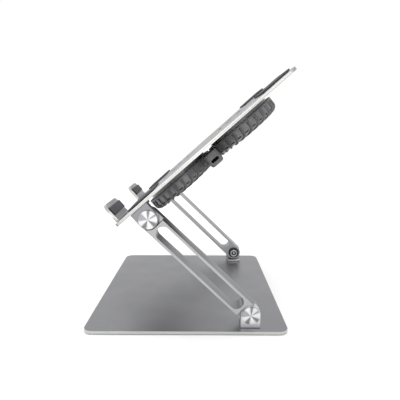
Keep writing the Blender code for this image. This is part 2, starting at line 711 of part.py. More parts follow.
def make_control_box(frame, finishes):
    """An open-topped box under the tray, with the USB-C socket on a small board inside it."""
    bottom = AXIS_TO_TRAY - BOX_DEPTH
    top = AXIS_TO_TRAY - GAP

    def outline(inset):
        low = (BOX_INNER_X, FAN_MIDDLE - BOX_HALF_WIDTH)
        high = (BOX_OUTER_X, FAN_MIDDLE + BOX_HALF_WIDTH)
        return rounded_rectangle(low, high, BOX_CORNER, 3, inset)

    rounded = [(1.6, 0.0), (0.8, 0.35), (0.25, 0.9), (0.0, 1.8)]
    sections = [(outline(inset * MM), bottom + rise * MM) for inset, rise in rounded]
    box = loft("control_box", sections + [(outline(0.0), top)])
    cut(box, prism("cavity", outline(BOX_WALL), bottom + BOX_WALL, top + MM))
    socket_z = AXIS_TO_TRAY - SOCKET_DEPTH

    def socket_outline(grow):
        half = SOCKET_HALF_WIDTH - SOCKET_HALF_HEIGHT
        shape = stadium(FAN_MIDDLE - half, FAN_MIDDLE + half, SOCKET_HALF_HEIGHT + grow, 6)
        return [(y, z + socket_z) for y, z in shape]

    cut(box, prism("socket_hole", socket_outline(0.0), BOX_OUTER_X - 4 * MM, BOX_OUTER_X + MM, "YZ"))
    for direction in (-1, 1):
        y = FAN_MIDDLE + direction * (BOX_HALF_WIDTH - BOX_WALL / 2)
        notch = prism(
            "lead_notch",
            arc((LEAD_X + 1.6 * MM, AXIS_TO_TRAY - LEAD_DEPTH), LEAD_RADIUS + 0.6 * MM, 0, 2 * pi, 16)[:-1],
            y - 2 * MM,
            y + 2 * MM,
            "XZ",
        )
        cut(box, notch)
    place(box, "control_box", finishes["grey_plastic"], frame)

    mouth, back = BOX_OUTER_X - BOX_WALL - GAP, BOX_OUTER_X - BOX_WALL - 7.6 * MM
    shell = prism("usb_receptacle", socket_outline(-0.15 * MM), back, mouth, "YZ")
    cut(shell, prism("mouth", socket_outline(-0.5 * MM), back + 1.2 * MM, mouth + MM, "YZ"))
    tongue = rounded_rectangle(
        (FAN_MIDDLE - 3.1 * MM, socket_z - 0.35 * MM), (FAN_MIDDLE + 3.1 * MM, socket_z + 0.35 * MM), 0.1 * MM, 1
    )
    add(shell, prism("tongue", tongue, back + 0.6 * MM, mouth - 0.8 * MM, "YZ"))
    place(shell, "usb_receptacle", finishes["steel"], frame)

    board_top = socket_z - SOCKET_HALF_HEIGHT - 0.15 * MM
    board = prism(
        "circuit_board",
        rounded_rectangle(
            (BOX_INNER_X + 7 * MM, FAN_MIDDLE - 5.4 * MM),
            (BOX_OUTER_X - BOX_WALL - GAP, FAN_MIDDLE + 5.4 * MM),
            0.6 * MM,
            2,
        ),
        board_top - BOARD_THICKNESS,
        board_top,
    )
    place(board, "circuit_board", finishes["board_green"], frame)


def lead_route(direction):
    """Points of one fan lead: from the fan's ring, out between two ribs and into the control box."""
    depth = LEAD_DEPTH
    centre = FAN_MIDDLE + direction * FAN_PITCH / 2
    gap_turn = 2 * pi / RIB_COUNT
    aim = atan2(sqrt((GUARD_RADIUS) ** 2 - LEAD_X**2), LEAD_X)
    middle = rib_angle(GUARD_RADIUS) + gap_turn / 2
    if direction > 0:
        aim = -aim
    turn = middle + gap_turn * round((aim - middle) / gap_turn)
    start = FRAME_OUTER + GAP + LEAD_RADIUS
    points = [(r * cos(turn), centre + r * sin(turn)) for r in (start, GUARD_RADIUS - MM, GUARD_RADIUS + 1.2 * MM)]
    inside = FAN_MIDDLE + direction * (BOX_HALF_WIDTH - BOX_WALL - 1.5 * MM)
    wall = FAN_MIDDLE + direction * (BOX_HALF_WIDTH + 0.8 * MM)
    entry = LEAD_X + 1.6 * MM
    points += [(entry, wall), (entry, inside)]
    return [Vector((x, y, AXIS_TO_TRAY - depth)) for x, y in points]


def smooth_through(points, steps=3):
    """A Catmull-Rom curve through the route's own points."""
    route = [2 * points[0] - points[1], *points, 2 * points[-1] - points[-2]]
    smooth = []
    for a, b, c, d in zip(route, route[1:], route[2:], route[3:]):
        for i in range(steps):
            t = i / steps
            smooth.append(
                0.5 * (2 * b + (c - a) * t + (2 * a - 5 * b + 4 * c - d) * t * t + (3 * b - a - 3 * c + d) * t**3)
            )
    return smooth + [points[-1]]


def make_leads(frame, finishes):
    for row, direction in (("front", -1), ("rear", 1)):
        curve = bpy.data.curves.new(f"fan_lead_{row}", "CURVE")
        curve.dimensions = "3D"
        curve.bevel_depth, curve.bevel_resolution, curve.use_fill_caps = LEAD_RADIUS, 2, True
        route = smooth_through(lead_route(direction))
        spline = curve.splines.new("POLY")
        spline.points.add(len(route) - 1)
        for point, place_of in zip(spline.points, route):
            point.co = (*place_of, 1)
        place(new_object("lead", curve), f"fan_lead_{row}", finishes["black_plastic"], frame)


# -------------------------------------------------------------------- main


def main():
    for obj in list(bpy.data.objects):
        bpy.data.objects.remove(obj)
    finishes = {
        "grey_aluminium": material("grey_aluminium", (0.27, 0.27, 0.29), 0.38, 0.85),
        "bright_steel": material("bright_steel", (0.75, 0.75, 0.76), 0.25, 1.0),
        "steel": material("steel", (0.45, 0.45, 0.47), 0.3, 1.0),
        "black_steel": material("black_steel", (0.05, 0.05, 0.055), 0.4, 1.0),
        "rubber": material("rubber", (0.07, 0.07, 0.075), 0.8, 0.0),
        "grey_plastic": material("grey_plastic", (0.13, 0.13, 0.135), 0.5, 0.0),
        "black_plastic": material("black_plastic", (0.02, 0.02, 0.02), 0.5, 0.0),
        "board_green": material("board_green", (0.02, 0.12, 0.05), 0.45, 0.0),
    }
    upper_y = LOWER_AXIS_Y - ARM_LENGTH * cos(ARM_ANGLE)
    upper_z = LOWER_AXIS_Z + ARM_LENGTH * sin(ARM_ANGLE)
    base_frame = frame_at("base_frame", 0, 0, 0)
    arm_frame = frame_at("arm_frame", LOWER_AXIS_Y, LOWER_AXIS_Z, -ARM_ANGLE)
    pivot_frame = frame_at("pivot_frame", upper_y, upper_z, 0)
    tray_frame = frame_at("tray_frame", upper_y, upper_z, TRAY_TILT)

    make_base(base_frame, finishes)
    make_lower_brackets(base_frame, finishes)
    pivot_set("lower", base_frame, (0, LOWER_AXIS_Y, LOWER_AXIS_Z), finishes)
    make_arms(arm_frame, finishes)
    pivot_set("upper", pivot_frame, (0, 0, 0), finishes)
    make_tray_plate(tray_frame, finishes)
    make_pads(tray_frame, finishes)
    make_upper_brackets(tray_frame, finishes)
    make_fans(tray_frame, finishes)
    make_control_box(tray_frame, finishes)
    make_leads(tray_frame, finishes)


main()
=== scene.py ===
"""Looks of the folding laptop stand with two cooling fans.

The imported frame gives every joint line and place. Each sub-assembly is a class that models its
own pieces about the joint line or plate they belong to, finishes them, and sets them in place.
Metres, +Z up. The stand's own right is +X, and -Y is the user's side.
"""

import json
import logging
from contextlib import contextmanager
from dataclasses import dataclass, field
from enum import Enum
from math import atan2, cos, pi, radians, sin
from typing import Callable, ClassVar, Iterator

import bmesh
import bpy
from mathutils import Matrix, Vector


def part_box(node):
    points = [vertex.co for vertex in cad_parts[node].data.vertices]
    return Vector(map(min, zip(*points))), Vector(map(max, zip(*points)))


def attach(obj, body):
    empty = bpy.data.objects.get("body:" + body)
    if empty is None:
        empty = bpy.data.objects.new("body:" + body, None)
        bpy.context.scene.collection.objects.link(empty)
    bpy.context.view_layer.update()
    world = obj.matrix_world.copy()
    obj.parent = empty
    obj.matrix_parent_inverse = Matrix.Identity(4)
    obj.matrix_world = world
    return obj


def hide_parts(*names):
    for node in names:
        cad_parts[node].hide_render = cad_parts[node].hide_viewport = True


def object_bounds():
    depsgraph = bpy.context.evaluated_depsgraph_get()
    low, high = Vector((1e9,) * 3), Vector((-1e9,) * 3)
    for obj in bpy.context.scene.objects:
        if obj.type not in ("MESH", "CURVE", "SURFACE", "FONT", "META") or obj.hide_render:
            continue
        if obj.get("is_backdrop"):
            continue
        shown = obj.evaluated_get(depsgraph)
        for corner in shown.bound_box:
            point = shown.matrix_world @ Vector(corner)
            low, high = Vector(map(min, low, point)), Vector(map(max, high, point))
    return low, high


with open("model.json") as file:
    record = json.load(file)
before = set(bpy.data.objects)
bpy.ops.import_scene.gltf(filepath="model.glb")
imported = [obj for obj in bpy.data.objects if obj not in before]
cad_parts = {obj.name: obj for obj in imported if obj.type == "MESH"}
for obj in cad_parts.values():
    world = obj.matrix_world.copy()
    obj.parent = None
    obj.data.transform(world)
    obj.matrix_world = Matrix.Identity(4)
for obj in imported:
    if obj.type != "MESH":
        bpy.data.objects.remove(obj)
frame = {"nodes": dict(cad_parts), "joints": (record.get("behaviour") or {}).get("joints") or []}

LOG = logging.getLogger("laptop_stand")
MM = 0.001
AIR = 0.3 * MM  # between two pieces that touch
NEAR = 0.1 * MM  # how far off a place an edge may lie and still count as being there
OVERRUN = 1 * MM  # how far a cutter stands out of what it cuts
LEVEL = 0.999  # the least a face's normal points up where it counts as level
FACING = 0.9  # the least a face's normal points along the way that it is said to look
FULL_ROUND = 0.9995  # of a half width, the most that is rounded without closing a face up
X, Y, Z = range(3)  # the numbers of a point's axes
SECOND, THIRD = 1, 2  # the material slots after the main one
Colour = tuple[float, float, float]
Pick = Callable[[Vector, Vector], bool]
Piece = bpy.types.Object


class Side(Enum):
    """The two hands of the stand, as the sign of X."""

    RIGHT = 1
    LEFT = -1

    @property
    def word(self) -> str:
        """The side's name as nodes carry it."""
        return self.name.lower()


class Row(Enum):
    """The two fans, or the two ends of the tray."""

    FRONT = "front"
    REAR = "rear"


class Direction(Enum):
    """The axis that a round piece is turned about."""

    ALONG_X = (0.0, pi / 2, 0.0)
    ALONG_Z = (0.0, 0.0, 0.0)


# ------------------------------------------------------------------ where things are


@dataclass(frozen=True)
class Places:
    """Joint lines and local frames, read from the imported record."""

    lower: Vector
    upper: Vector
    tilt: float
    fans: dict[Row, Vector]

    @classmethod
    def from_record(cls) -> "Places":
        """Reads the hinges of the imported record.

        Returns:
            The places of every joint line at rest.
        """
        joints = {joint["name"]: joint for joint in frame["joints"]}
        spin = joints["front_fan_spin"]
        fans = {row: Vector(joints[f"{row.value}_fan_spin"]["pos_m"]) for row in Row}
        tilt = atan2(-spin["axis"][1], spin["axis"][2])
        return cls(Vector(joints["arm_lift"]["pos_m"]), Vector(joints["tray_tilt"]["pos_m"]), tilt, fans)

    @property
    def arm_length(self) -> float:
        """Between the two joint lines."""
        return (self.upper - self.lower).length

    @property
    def at_lower(self) -> Matrix:
        """Level frame on the lower joint line."""
        return Matrix.Translation(self.lower)

    @property
    def at_upper(self) -> Matrix:
        """Level frame on the upper joint line."""
        return Matrix.Translation(self.upper)

    @property
    def at_arm(self) -> Matrix:
        """Frame on the lower joint line whose -Y runs up the arm."""
        rise = self.upper - self.lower
        return self.at_lower @ Matrix.Rotation(-atan2(rise.z, -rise.y), 4, "X")

    @property
    def at_tray(self) -> Matrix:
        """Frame on the upper joint line, with +Y up the tray and +Z out of its top."""
        return self.at_upper @ Matrix.Rotation(self.tilt, 4, "X")

    def at_fan(self, row: Row) -> Matrix:
        """Frame where a fan's axis meets the tray's underside, with +Z out of the tray's top.

        Args:
            row: Which of the two fans.

        Returns:
            The frame's matrix.
        """
        return Matrix.Translation(self.fans[row]) @ Matrix.Rotation(self.tilt, 4, "X")

    def along_tray(self, point: Vector) -> float:
        """How far up the tray a point lies.

        Args:
            point: A place in the stand's frame.

        Returns:
            The distance from the upper joint line, in metres.
        """
        return (self.at_tray.inverted() @ point).y


# ------------------------------------------------------------------ modelling moves


class Workbench:
    """The modelling moves that every sub-assembly is made with."""

    SMOOTH_UNDER = radians(32)

    @staticmethod
    def only(piece: Piece | None) -> None:
        """Leaves nothing selected but this piece.

        Args:
            piece: The piece to work on, or None for nothing at all.
        """
        for obj in bpy.context.selected_objects:
            obj.select_set(False)
        if piece is not None:
            piece.select_set(True)
        bpy.context.view_layer.objects.active = piece

    @classmethod
    @contextmanager
    def editing(
        cls, piece: Piece, wanted: Pick | None = None, what: str = "FACE"
    ) -> Iterator[bmesh.types.BMesh]:
        """Opens a piece in edit mode, with only what passes a test selected.

        Args:
            piece: The piece to shape.
            wanted: Takes a face's middle and normal, or an edge's two ends. None selects everything.
            what: FACE, EDGE or VERT, the kind that selections count in.

        Yields:
            The mesh under edit.
        """
        cls.only(piece)
        bpy.ops.object.mode_set(mode="EDIT")
        bpy.ops.mesh.select_mode(type=what)
        bpy.ops.mesh.select_all(action="SELECT" if wanted is None else "DESELECT")
        mesh = bmesh.from_edit_mesh(piece.data)
        if wanted is not None:
            if what == "FACE":
                picked = [face for face in mesh.faces if wanted(face.calc_center_median(), face.normal)]
            else:
                picked = [edge for edge in mesh.edges if wanted(edge.verts[0].co, edge.verts[1].co)]
            for item in picked:
                item.select_set(True)
            bmesh.update_edit_mesh(piece.data)
        yield mesh
        bpy.ops.object.mode_set(mode="OBJECT")

    @staticmethod
    def pull(x: float, y: float, z: float) -> None:
        """Draws the selected faces out by a step."""
        bpy.ops.mesh.extrude_region_move(TRANSFORM_OT_translate={"value": (x, y, z)})

    @staticmethod
    def paint(slot: int) -> None:
        """Gives the selected faces another of the piece's material slots."""
        bpy.context.object.active_material_index = slot
        bpy.ops.object.material_slot_assign()

    @classmethod
    def settle(cls, piece: Piece) -> Piece:
        """Puts a piece's place into its mesh.

        Args:
            piece: A piece that was just added, turned or scaled.

        Returns:
            The same piece, now at the origin.
        """
        cls.only(piece)
        bpy.ops.object.transform_apply(location=True, rotation=True, scale=True)
        return piece

    @classmethod
    def block(cls, name: str, low: tuple, high: tuple) -> Piece:
        """Adds a block between two corners.

        Args:
            name: The piece's name.
            low: Its lowest corner.
            high: Its highest corner.

        Returns:
            The new piece.
        """
        low, high = Vector(low), Vector(high)
        cls.only(None)
        bpy.ops.mesh.primitive_cube_add(size=1, location=(low + high) / 2, scale=high - low)
        bpy.context.object.name = name
        return cls.settle(bpy.context.object)

    @classmethod
    def disc(
        cls,
        name: str,
        radius: float,
        low: float,
        high: float,
        sides: int = 48,
        about: Direction = Direction.ALONG_Z,
        middle: tuple[float, float] = (0.0, 0.0),
    ) -> Piece:
        """Adds a round bar or disc.

        Args:
            name: The piece's name.
            radius: Its radius.
            low: Where it starts on its axis.
            high: Where it ends on its axis.
            sides: How many flats stand for the round.
            about: The axis it is turned about.
            middle: Where its axis runs, in the other two coordinates.

        Returns:
            The new piece.
        """
        centre = (low + high) / 2
        place = (centre, *middle) if about is Direction.ALONG_X else (*middle, centre)
        cls.only(None)
        bpy.ops.mesh.primitive_cylinder_add(
            vertices=sides, radius=radius, depth=high - low, location=place, rotation=about.value
        )
        bpy.context.object.name = name
        return cls.settle(bpy.context.object)

    @classmethod
    def collar(
        cls,
        name: str,
        outer: float,
        inner: float,
        low: float,
        high: float,
        sides: int = 48,
        about: Direction = Direction.ALONG_Z,
    ) -> Piece:
        """Turns a disc into a collar: both ends inset, then bridged through.

        Args:
            name: The piece's name.
            outer: Outer radius.
            inner: Radius of the hole.
            low: Where it starts on its axis.
            high: Where it ends on its axis.
            sides: How many flats stand for the round.
            about: The axis it is turned about.

        Returns:
            The new piece.
        """
        piece = cls.disc(name, outer, low, high, sides, about)
        axis = Vector((1, 0, 0)) if about is Direction.ALONG_X else Vector((0, 0, 1))
        with cls.editing(piece, lambda _, normal: abs(normal.dot(axis)) > FACING):
            bpy.ops.mesh.inset(thickness=(outer - inner) * cos(pi / sides))
            bpy.ops.mesh.bridge_edge_loops()
        cls.face_out(piece)
        return piece

    @classmethod
    def round_edges(cls, piece: Piece, wanted: Pick, radius: float, segments: int) -> None:
        """Rounds chosen edges with the bevel operator.

        Args:
            piece: The piece to shape.
            wanted: Takes an edge's two ends.
            radius: How far the round reaches on each face.
            segments: Flats along the round.
        """
        with cls.editing(piece, wanted, "EDGE"):
            bpy.ops.mesh.bevel(offset=radius, offset_type="OFFSET", segments=segments, affect="EDGES")
            bpy.ops.mesh.select_all(action="SELECT")
            bpy.ops.mesh.remove_doubles(threshold=0.01 * MM)

    @classmethod
    def chamfer(
        cls, piece: Piece, width: float, segments: int = 1, slot: int = -1, over: float = 40.0
    ) -> None:
        """Breaks every sharp edge with an applied Bevel modifier.

        Args:
            piece: The piece to finish.
            width: Width of the broken edge.
            segments: 1 for a cut chamfer, more for a round.
            slot: Material slot of the new faces, or -1 to keep their neighbours'.
            over: Edges bent by more than this many degrees are broken.
        """
        modifier = piece.modifiers.new("edges", "BEVEL")
        modifier.width, modifier.segments = width, segments
        modifier.limit_method, modifier.angle_limit = "ANGLE", radians(over)
        modifier.material = slot
        modifier.miter_outer = "MITER_SHARP"
        cls.apply(piece, modifier)

    @classmethod
    def apply(cls, piece: Piece, modifier: bpy.types.Modifier) -> None:
        """Applies one modifier to a piece."""
        cls.only(piece)
        bpy.ops.object.modifier_apply(modifier=modifier.name)

    @classmethod
    def carve(cls, piece: Piece, cutter: Piece, operation: str = "DIFFERENCE") -> Piece:
        """Takes a cutter out of a piece, or joins another solid to it.

        Args:
            piece: The piece to shape.
            cutter: The other solid, which is used up.
            operation: DIFFERENCE or UNION.

        Returns:
            The piece.
        """
        modifier = piece.modifiers.new("carve", "BOOLEAN")
        modifier.operation, modifier.object, modifier.solver = operation, cutter, "EXACT"
        cls.apply(piece, modifier)
        bpy.data.objects.remove(cutter)
        return piece

    @classmethod
    def drill(
        cls, piece: Piece, *sizes: float, about: Direction = Direction.ALONG_Z, middle: tuple = (0, 0)
    ) -> None:
        """Takes a round hole out of a piece.

        Args:
            piece: The piece to shape.
            *sizes: Radius, start, end and number of sides, as for a disc.
            about: The hole's axis.
            middle: Where its axis runs, in the other two coordinates.
        """
        cls.carve(piece, cls.disc("hole", *sizes, about=about, middle=middle))

    @classmethod
    def warp(cls, piece: Piece, move: Callable[[Vector], Vector]) -> None:
        """Moves every point of a piece. Used for leans that no operator gives.

        Args:
            piece: The piece to shape.
            move: Takes a point and gives where it goes.
        """
        with cls.editing(piece, what="VERT") as mesh:
            for vert in mesh.verts:
                vert.co = move(vert.co)
            bmesh.update_edit_mesh(piece.data)

    @classmethod
    def face_out(cls, piece: Piece) -> None:
        """Merges doubles and points every face outwards."""
        with cls.editing(piece):
            bpy.ops.mesh.remove_doubles(threshold=0.002 * MM)
            bpy.ops.mesh.normals_make_consistent(inside=False)

    @classmethod
    def smooth(cls, piece: Piece, flat: Pick | None = None) -> None:
        """Shades a piece smooth wherever it bends only a little.

        Args:
            piece: The piece.
            flat: Which of its faces stay flat.
        """
        cls.only(piece)
        bpy.ops.object.shade_smooth_by_angle(angle=cls.SMOOTH_UNDER)
        if flat is not None:
            with cls.editing(piece, flat):
                bpy.ops.mesh.faces_shade_flat()

    @classmethod
    def moved(cls, piece: Piece, matrix: Matrix) -> Piece:
        """Sets a piece in its place and keeps that place in its mesh.

        Args:
            piece: The piece, modelled about its own frame.
            matrix: That frame in the stand.

        Returns:
            The piece.
        """
        piece.matrix_world = matrix
        return cls.settle(piece)

    @classmethod
    def copy(cls, piece: Piece, name: str, matrix: Matrix | None = None) -> Piece:
        """Copies a piece with a mesh of its own.

        Args:
            piece: What to copy.
            name: The copy's name.
            matrix: A move for the copy. A mirroring one is allowed.

        Returns:
            The copy.
        """
        cls.only(piece)
        bpy.ops.object.duplicate(linked=False)
        made = bpy.context.object
        made.name = made.data.name = name
        if matrix is not None:
            cls.moved(made, matrix)
            if matrix.determinant() < 0:
                cls.face_out(made)
        return made

    @classmethod
    def joined(cls, name: str, pieces: list[Piece]) -> Piece:
        """Joins several solids into one object.

        Args:
            name: The object's name.
            pieces: The solids, the first of which takes in the others.

        Returns:
            The one object.
        """
        cls.only(pieces[0])
        for piece in pieces[1:]:
            piece.select_set(True)
        bpy.ops.object.join()
        bpy.context.object.name = bpy.context.object.data.name = name
        return bpy.context.object


    @classmethod
    def ring(cls, pattern: Piece, count: int, start: float = 0.0) -> list[Piece]:
        """Copies a pattern evenly round +Z and takes the pattern away.

        Args:
            pattern: What to copy.
            count: How many copies.
            start: Where the first one stands, in steps of the ring.

        Returns:
            The copies.
        """
        step = 2 * pi / count
        turns = [Matrix.Rotation(step * (i + start), 4, "Z") for i in range(count)]
        copies = [cls.copy(pattern, f"{pattern.name}_{i}", turn) for i, turn in enumerate(turns)]
        bpy.data.objects.remove(pattern)
        return copies


def mirror_x() -> Matrix:
    """The mirror between the stand's two sides."""
    return Matrix.Scale(-1, 4, (1, 0, 0))


def along(axis: int) -> Pick:
    """Picks the edges that run along an axis."""
    return lambda a, b: abs(a[axis] - b[axis]) > MM


def facing(axis: int, way: int) -> Pick:
    """Picks the faces that look along an axis, or against it where way is -1."""
    return lambda _, normal: normal[axis] * way > FACING


def lies_level(_: Vector, normal: Vector) -> bool:
    """Picks the faces that lie level."""
    return abs(normal.z) > LEVEL


def corners() -> list[str]:
    """The words for the stand's four corners, as nodes carry them."""
    return [f"{row.value}_{side.word}" for row in Row for side in Side]


def middle_of(node: str) -> Vector:
    """The middle of a node's box."""
    return sum(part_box(node), Vector()) / 2


# ------------------------------------------------------------------ finishes


class Effects:
    """Shader node groups that more than one finish uses, each built once."""

    def __init__(self) -> None:
        """Builds the groups."""
        self.grain = self._grain()
        self.drift = self._drift()
        self.scuffs = self._scuffs()

    @staticmethod
    def _new(name: str, inputs: dict[str, float | None], outputs: list[str]) -> bpy.types.NodeTree:
        """Starts a group with its sockets.

        Args:
            name: The group's name.
            inputs: Socket names with their defaults; None makes a vector socket.
            outputs: Names of the value outputs.

        Returns:
            The group, with its input and output nodes in place.
        """
        group = bpy.data.node_groups.new(name, "ShaderNodeTree")
        for label, default in inputs.items():
            kind = "NodeSocketVector" if default is None else "NodeSocketFloat"
            socket = group.interface.new_socket(label, in_out="INPUT", socket_type=kind)
            if default is not None:
                socket.default_value = default
        for label in outputs:
            group.interface.new_socket(label, in_out="OUTPUT", socket_type="NodeSocketFloat")
        group.nodes.new("NodeGroupInput")
        group.nodes.new("NodeGroupOutput")
        return group

    @staticmethod
    def _noise(group: bpy.types.NodeTree, detail: float, place: bpy.types.NodeSocket) -> bpy.types.NodeSocket:
        """Adds a noise of the group's own scale.

        Args:
            group: Where it goes.
            detail: Octaves of the noise.
            place: The coordinates it runs over.

        Returns:
            The noise's output socket, from 0 to 1.
        """
        noise = group.nodes.new("ShaderNodeTexNoise")
        noise.inputs["Detail"].default_value = detail
        group.links.new(place, noise.inputs["Vector"])
        group.links.new(group.nodes["Group Input"].outputs["Scale"], noise.inputs["Scale"])
        return noise.outputs["Fac"]

    @classmethod
    def _grain(cls) -> bpy.types.NodeTree:
        """Fine grain of blasted metal, moulded plastic or rubber.

        Returns:
            A group that gives a height and a shade about 1.
        """
        inputs = {"Vector": None, "Scale": 1500.0, "Contrast": 0.1}
        group = cls._new("fine_grain", inputs, ["Height", "Shade"])
        given, out = (group.nodes[f"Group {end}"] for end in ("Input", "Output"))
        noise = cls._noise(group, 3.0, given.outputs["Vector"])
        centred = math_node(group, "SUBTRACT", noise, 0.5)
        scaled = math_node(group, "MULTIPLY", centred, given.outputs["Contrast"])
        plug(group, out.inputs["Height"], noise)
        plug(group, out.inputs["Shade"], math_node(group, "ADD", scaled, 1.0))
        return group

    @classmethod
    def _drift(cls) -> bpy.types.NodeTree:
        """Slow change over a surface, between two values.

        Returns:
            A group that gives one value.
        """
        inputs = {"Vector": None, "Scale": 18.0, "Low": 0.9, "High": 1.1}
        group = cls._new("slow_drift", inputs, ["Value"])
        given, out = (group.nodes[f"Group {end}"] for end in ("Input", "Output"))
        noise = cls._noise(group, 2.0, given.outputs["Vector"])
        value = spread_node(group, noise, (0.3, 0.7), (given.outputs["Low"], given.outputs["High"]))
        plug(group, out.inputs["Value"], value)
        return group

    @classmethod
    def _scuffs(cls) -> bpy.types.NodeTree:
        """Sparse hairline scuffs from handling.

        Returns:
            A group that gives a mask from 0 to 1.
        """
        group = cls._new("hairline_scuffs", {"Vector": None, "Scale": 60.0, "Amount": 0.3}, ["Mask"])
        given, out = (group.nodes[f"Group {end}"] for end in ("Input", "Output"))
        stretch = group.nodes.new("ShaderNodeMapping")
        plug(group, stretch.inputs["Vector"], given.outputs["Vector"])
        plug(group, stretch.inputs["Rotation"], (0.4, 0.7, 0.9))
        plug(group, stretch.inputs["Scale"], (1.0, 14.0, 14.0))
        noise = cls._noise(group, 4.0, stretch.outputs["Vector"])
        peaks = spread_node(group, noise, (0.62, 0.74), (0.0, 1.0))
        plug(group, out.inputs["Mask"], math_node(group, "MULTIPLY", peaks, given.outputs["Amount"]))
        return group


def plug(tree: bpy.types.NodeTree, socket: bpy.types.NodeSocket, value: object) -> None:
    """Links a socket to another one, or sets it to a plain value.

    Args:
        tree: Where both nodes stand.
        socket: The input socket.
        value: An output socket, or the plain value.
    """
    if isinstance(value, bpy.types.NodeSocket):
        tree.links.new(value, socket)
    else:
        socket.default_value = value


def spread_node(
    tree: bpy.types.NodeTree, value: bpy.types.NodeSocket, given: tuple, wanted: tuple, kind: str = "LINEAR"
) -> bpy.types.NodeSocket:
    """Stretches one range of values over another, clamped at both ends.

    Args:
        tree: Where the node goes.
        value: What is stretched.
        given: The range it is read over, as two numbers.
        wanted: The range it is spread to, each end a socket or a number.
        kind: LINEAR or SMOOTHSTEP.

    Returns:
        The node's output socket.
    """
    node = tree.nodes.new("ShaderNodeMapRange")
    node.interpolation_type = kind
    ends = zip(("Value", "From Min", "From Max", "To Min", "To Max"), (value, *given, *wanted))
    for label, end in ends:
        plug(tree, node.inputs[label], end)
    return node.outputs["Result"]


def math_node(tree: bpy.types.NodeTree, operation: str, *values: object) -> bpy.types.NodeSocket:
    """Adds a Math node.

    Args:
        tree: Where the node goes.
        operation: The Math node's operation.
        *values: Its inputs, each a socket or a number.

    Returns:
        The node's output socket.
    """
    node = tree.nodes.new("ShaderNodeMath")
    node.operation = operation
    for socket, value in zip(node.inputs, values):
        plug(tree, socket, value)
    return node.outputs["Value"]


def mix_node(
    tree: bpy.types.NodeTree, mask: bpy.types.NodeSocket, under: object, over: object
) -> bpy.types.NodeSocket:
    """Lays one colour over another where a mask is 1.

    Args:
        tree: Where the node goes.
        mask: From 0 to 1.
        under: The colour below, a socket or four numbers.
        over: The colour on top, a socket or four numbers.

    Returns:
        The mixed colour's socket.
    """
    mix = tree.nodes.new("ShaderNodeMix")
    mix.data_type = "RGBA"
    below, above, mixed = mix.inputs[6], mix.inputs[7], mix.outputs[2]
    for socket, value in ((mix.inputs["Factor"], mask), (below, under), (above, over)):
        plug(tree, socket, value)
    return mixed


@dataclass
class PaintTable:
    """One material under construction, with its shader and its coordinates at hand."""

    name: str
    effects: Effects

    def __post_init__(self) -> None:
        """Adds the material and its first nodes."""
        self.material = bpy.data.materials.new(self.name)
        self.material.use_nodes = True
        self.tree = self.material.node_tree
        self.shader = self.tree.nodes["Principled BSDF"]
        self.place = self.tree.nodes.new("ShaderNodeTexCoord").outputs["Object"]

    def effect(self, group: bpy.types.NodeTree, **values: float) -> bpy.types.Node:
        """Places one of the shared effects.

        Args:
            group: The effect's node group.
            **values: Its inputs by name.

        Returns:
            The group's node.
        """
        node = self.tree.nodes.new("ShaderNodeGroup")
        node.node_tree = group
        self.tree.links.new(self.place, node.inputs["Vector"])
        for label, value in values.items():
            node.inputs[label].default_value = value
        return node

    def tinted(self, colour: Colour, *shades: bpy.types.NodeSocket) -> bpy.types.NodeSocket:
        """A colour darkened or lightened by each shade in turn.

        Args:
            colour: The plain colour.
            *shades: Values about 1.

        Returns:
            The colour's output socket.
        """
        value = shades[0]
        for shade in shades[1:]:
            value = math_node(self.tree, "MULTIPLY", value, shade)
        scale = self.tree.nodes.new("ShaderNodeVectorMath")
        scale.operation = "SCALE"
        plug(self.tree, scale.inputs[0], colour)
        plug(self.tree, scale.inputs["Scale"], value)
        return scale.outputs["Vector"]

    def grained(
        self, coat: "Metal | Moulded", tone_scale: float, gloss: dict[str, float]
    ) -> tuple[bpy.types.Node, bpy.types.NodeSocket]:
        """Grain, tone and gloss that metal and mouldings share.

        Args:
            coat: The finish, with its colour, grain and drift.
            tone_scale: How fast the tone drifts over the surface.
            gloss: The drift inputs of the roughness.

        Returns:
            The grain's node and the plain colour's socket.
        """
        grain = self.effect(self.effects.grain, Scale=coat.grain_scale, Contrast=coat.grain_contrast)
        tone = self.effect(self.effects.drift, Scale=tone_scale, Low=1 - coat.drift, High=1 + coat.drift)
        self.feed(Roughness=self.effect(self.effects.drift, **gloss).outputs["Value"])
        return grain, self.tinted(coat.colour, grain.outputs["Shade"], tone.outputs["Value"])

    def bump(self, height: bpy.types.NodeSocket, distance: float, strength: float = 1.0) -> None:
        """Raises the surface by a height pattern.

        Args:
            height: The pattern.
            distance: Metres that a height of 1 stands up.
            strength: How much of it shows.
        """
        node = self.tree.nodes.new("ShaderNodeBump")
        node.inputs["Distance"].default_value, node.inputs["Strength"].default_value = distance, strength
        self.tree.links.new(height, node.inputs["Height"])
        self.tree.links.new(node.outputs["Normal"], self.shader.inputs["Normal"])

    def feed(self, **sockets: bpy.types.NodeSocket) -> None:
        """Links values to the shader's own sockets, with _ for a space in their names."""
        for label, socket in sockets.items():
            self.tree.links.new(socket, self.shader.inputs[label.replace("_", " ")])

    def settings(self, **values: float) -> None:
        """Sets plain values on the shader's own sockets, with _ for a space in their names."""
        for label, value in values.items():
            self.shader.inputs[label.replace("_", " ")].default_value = value


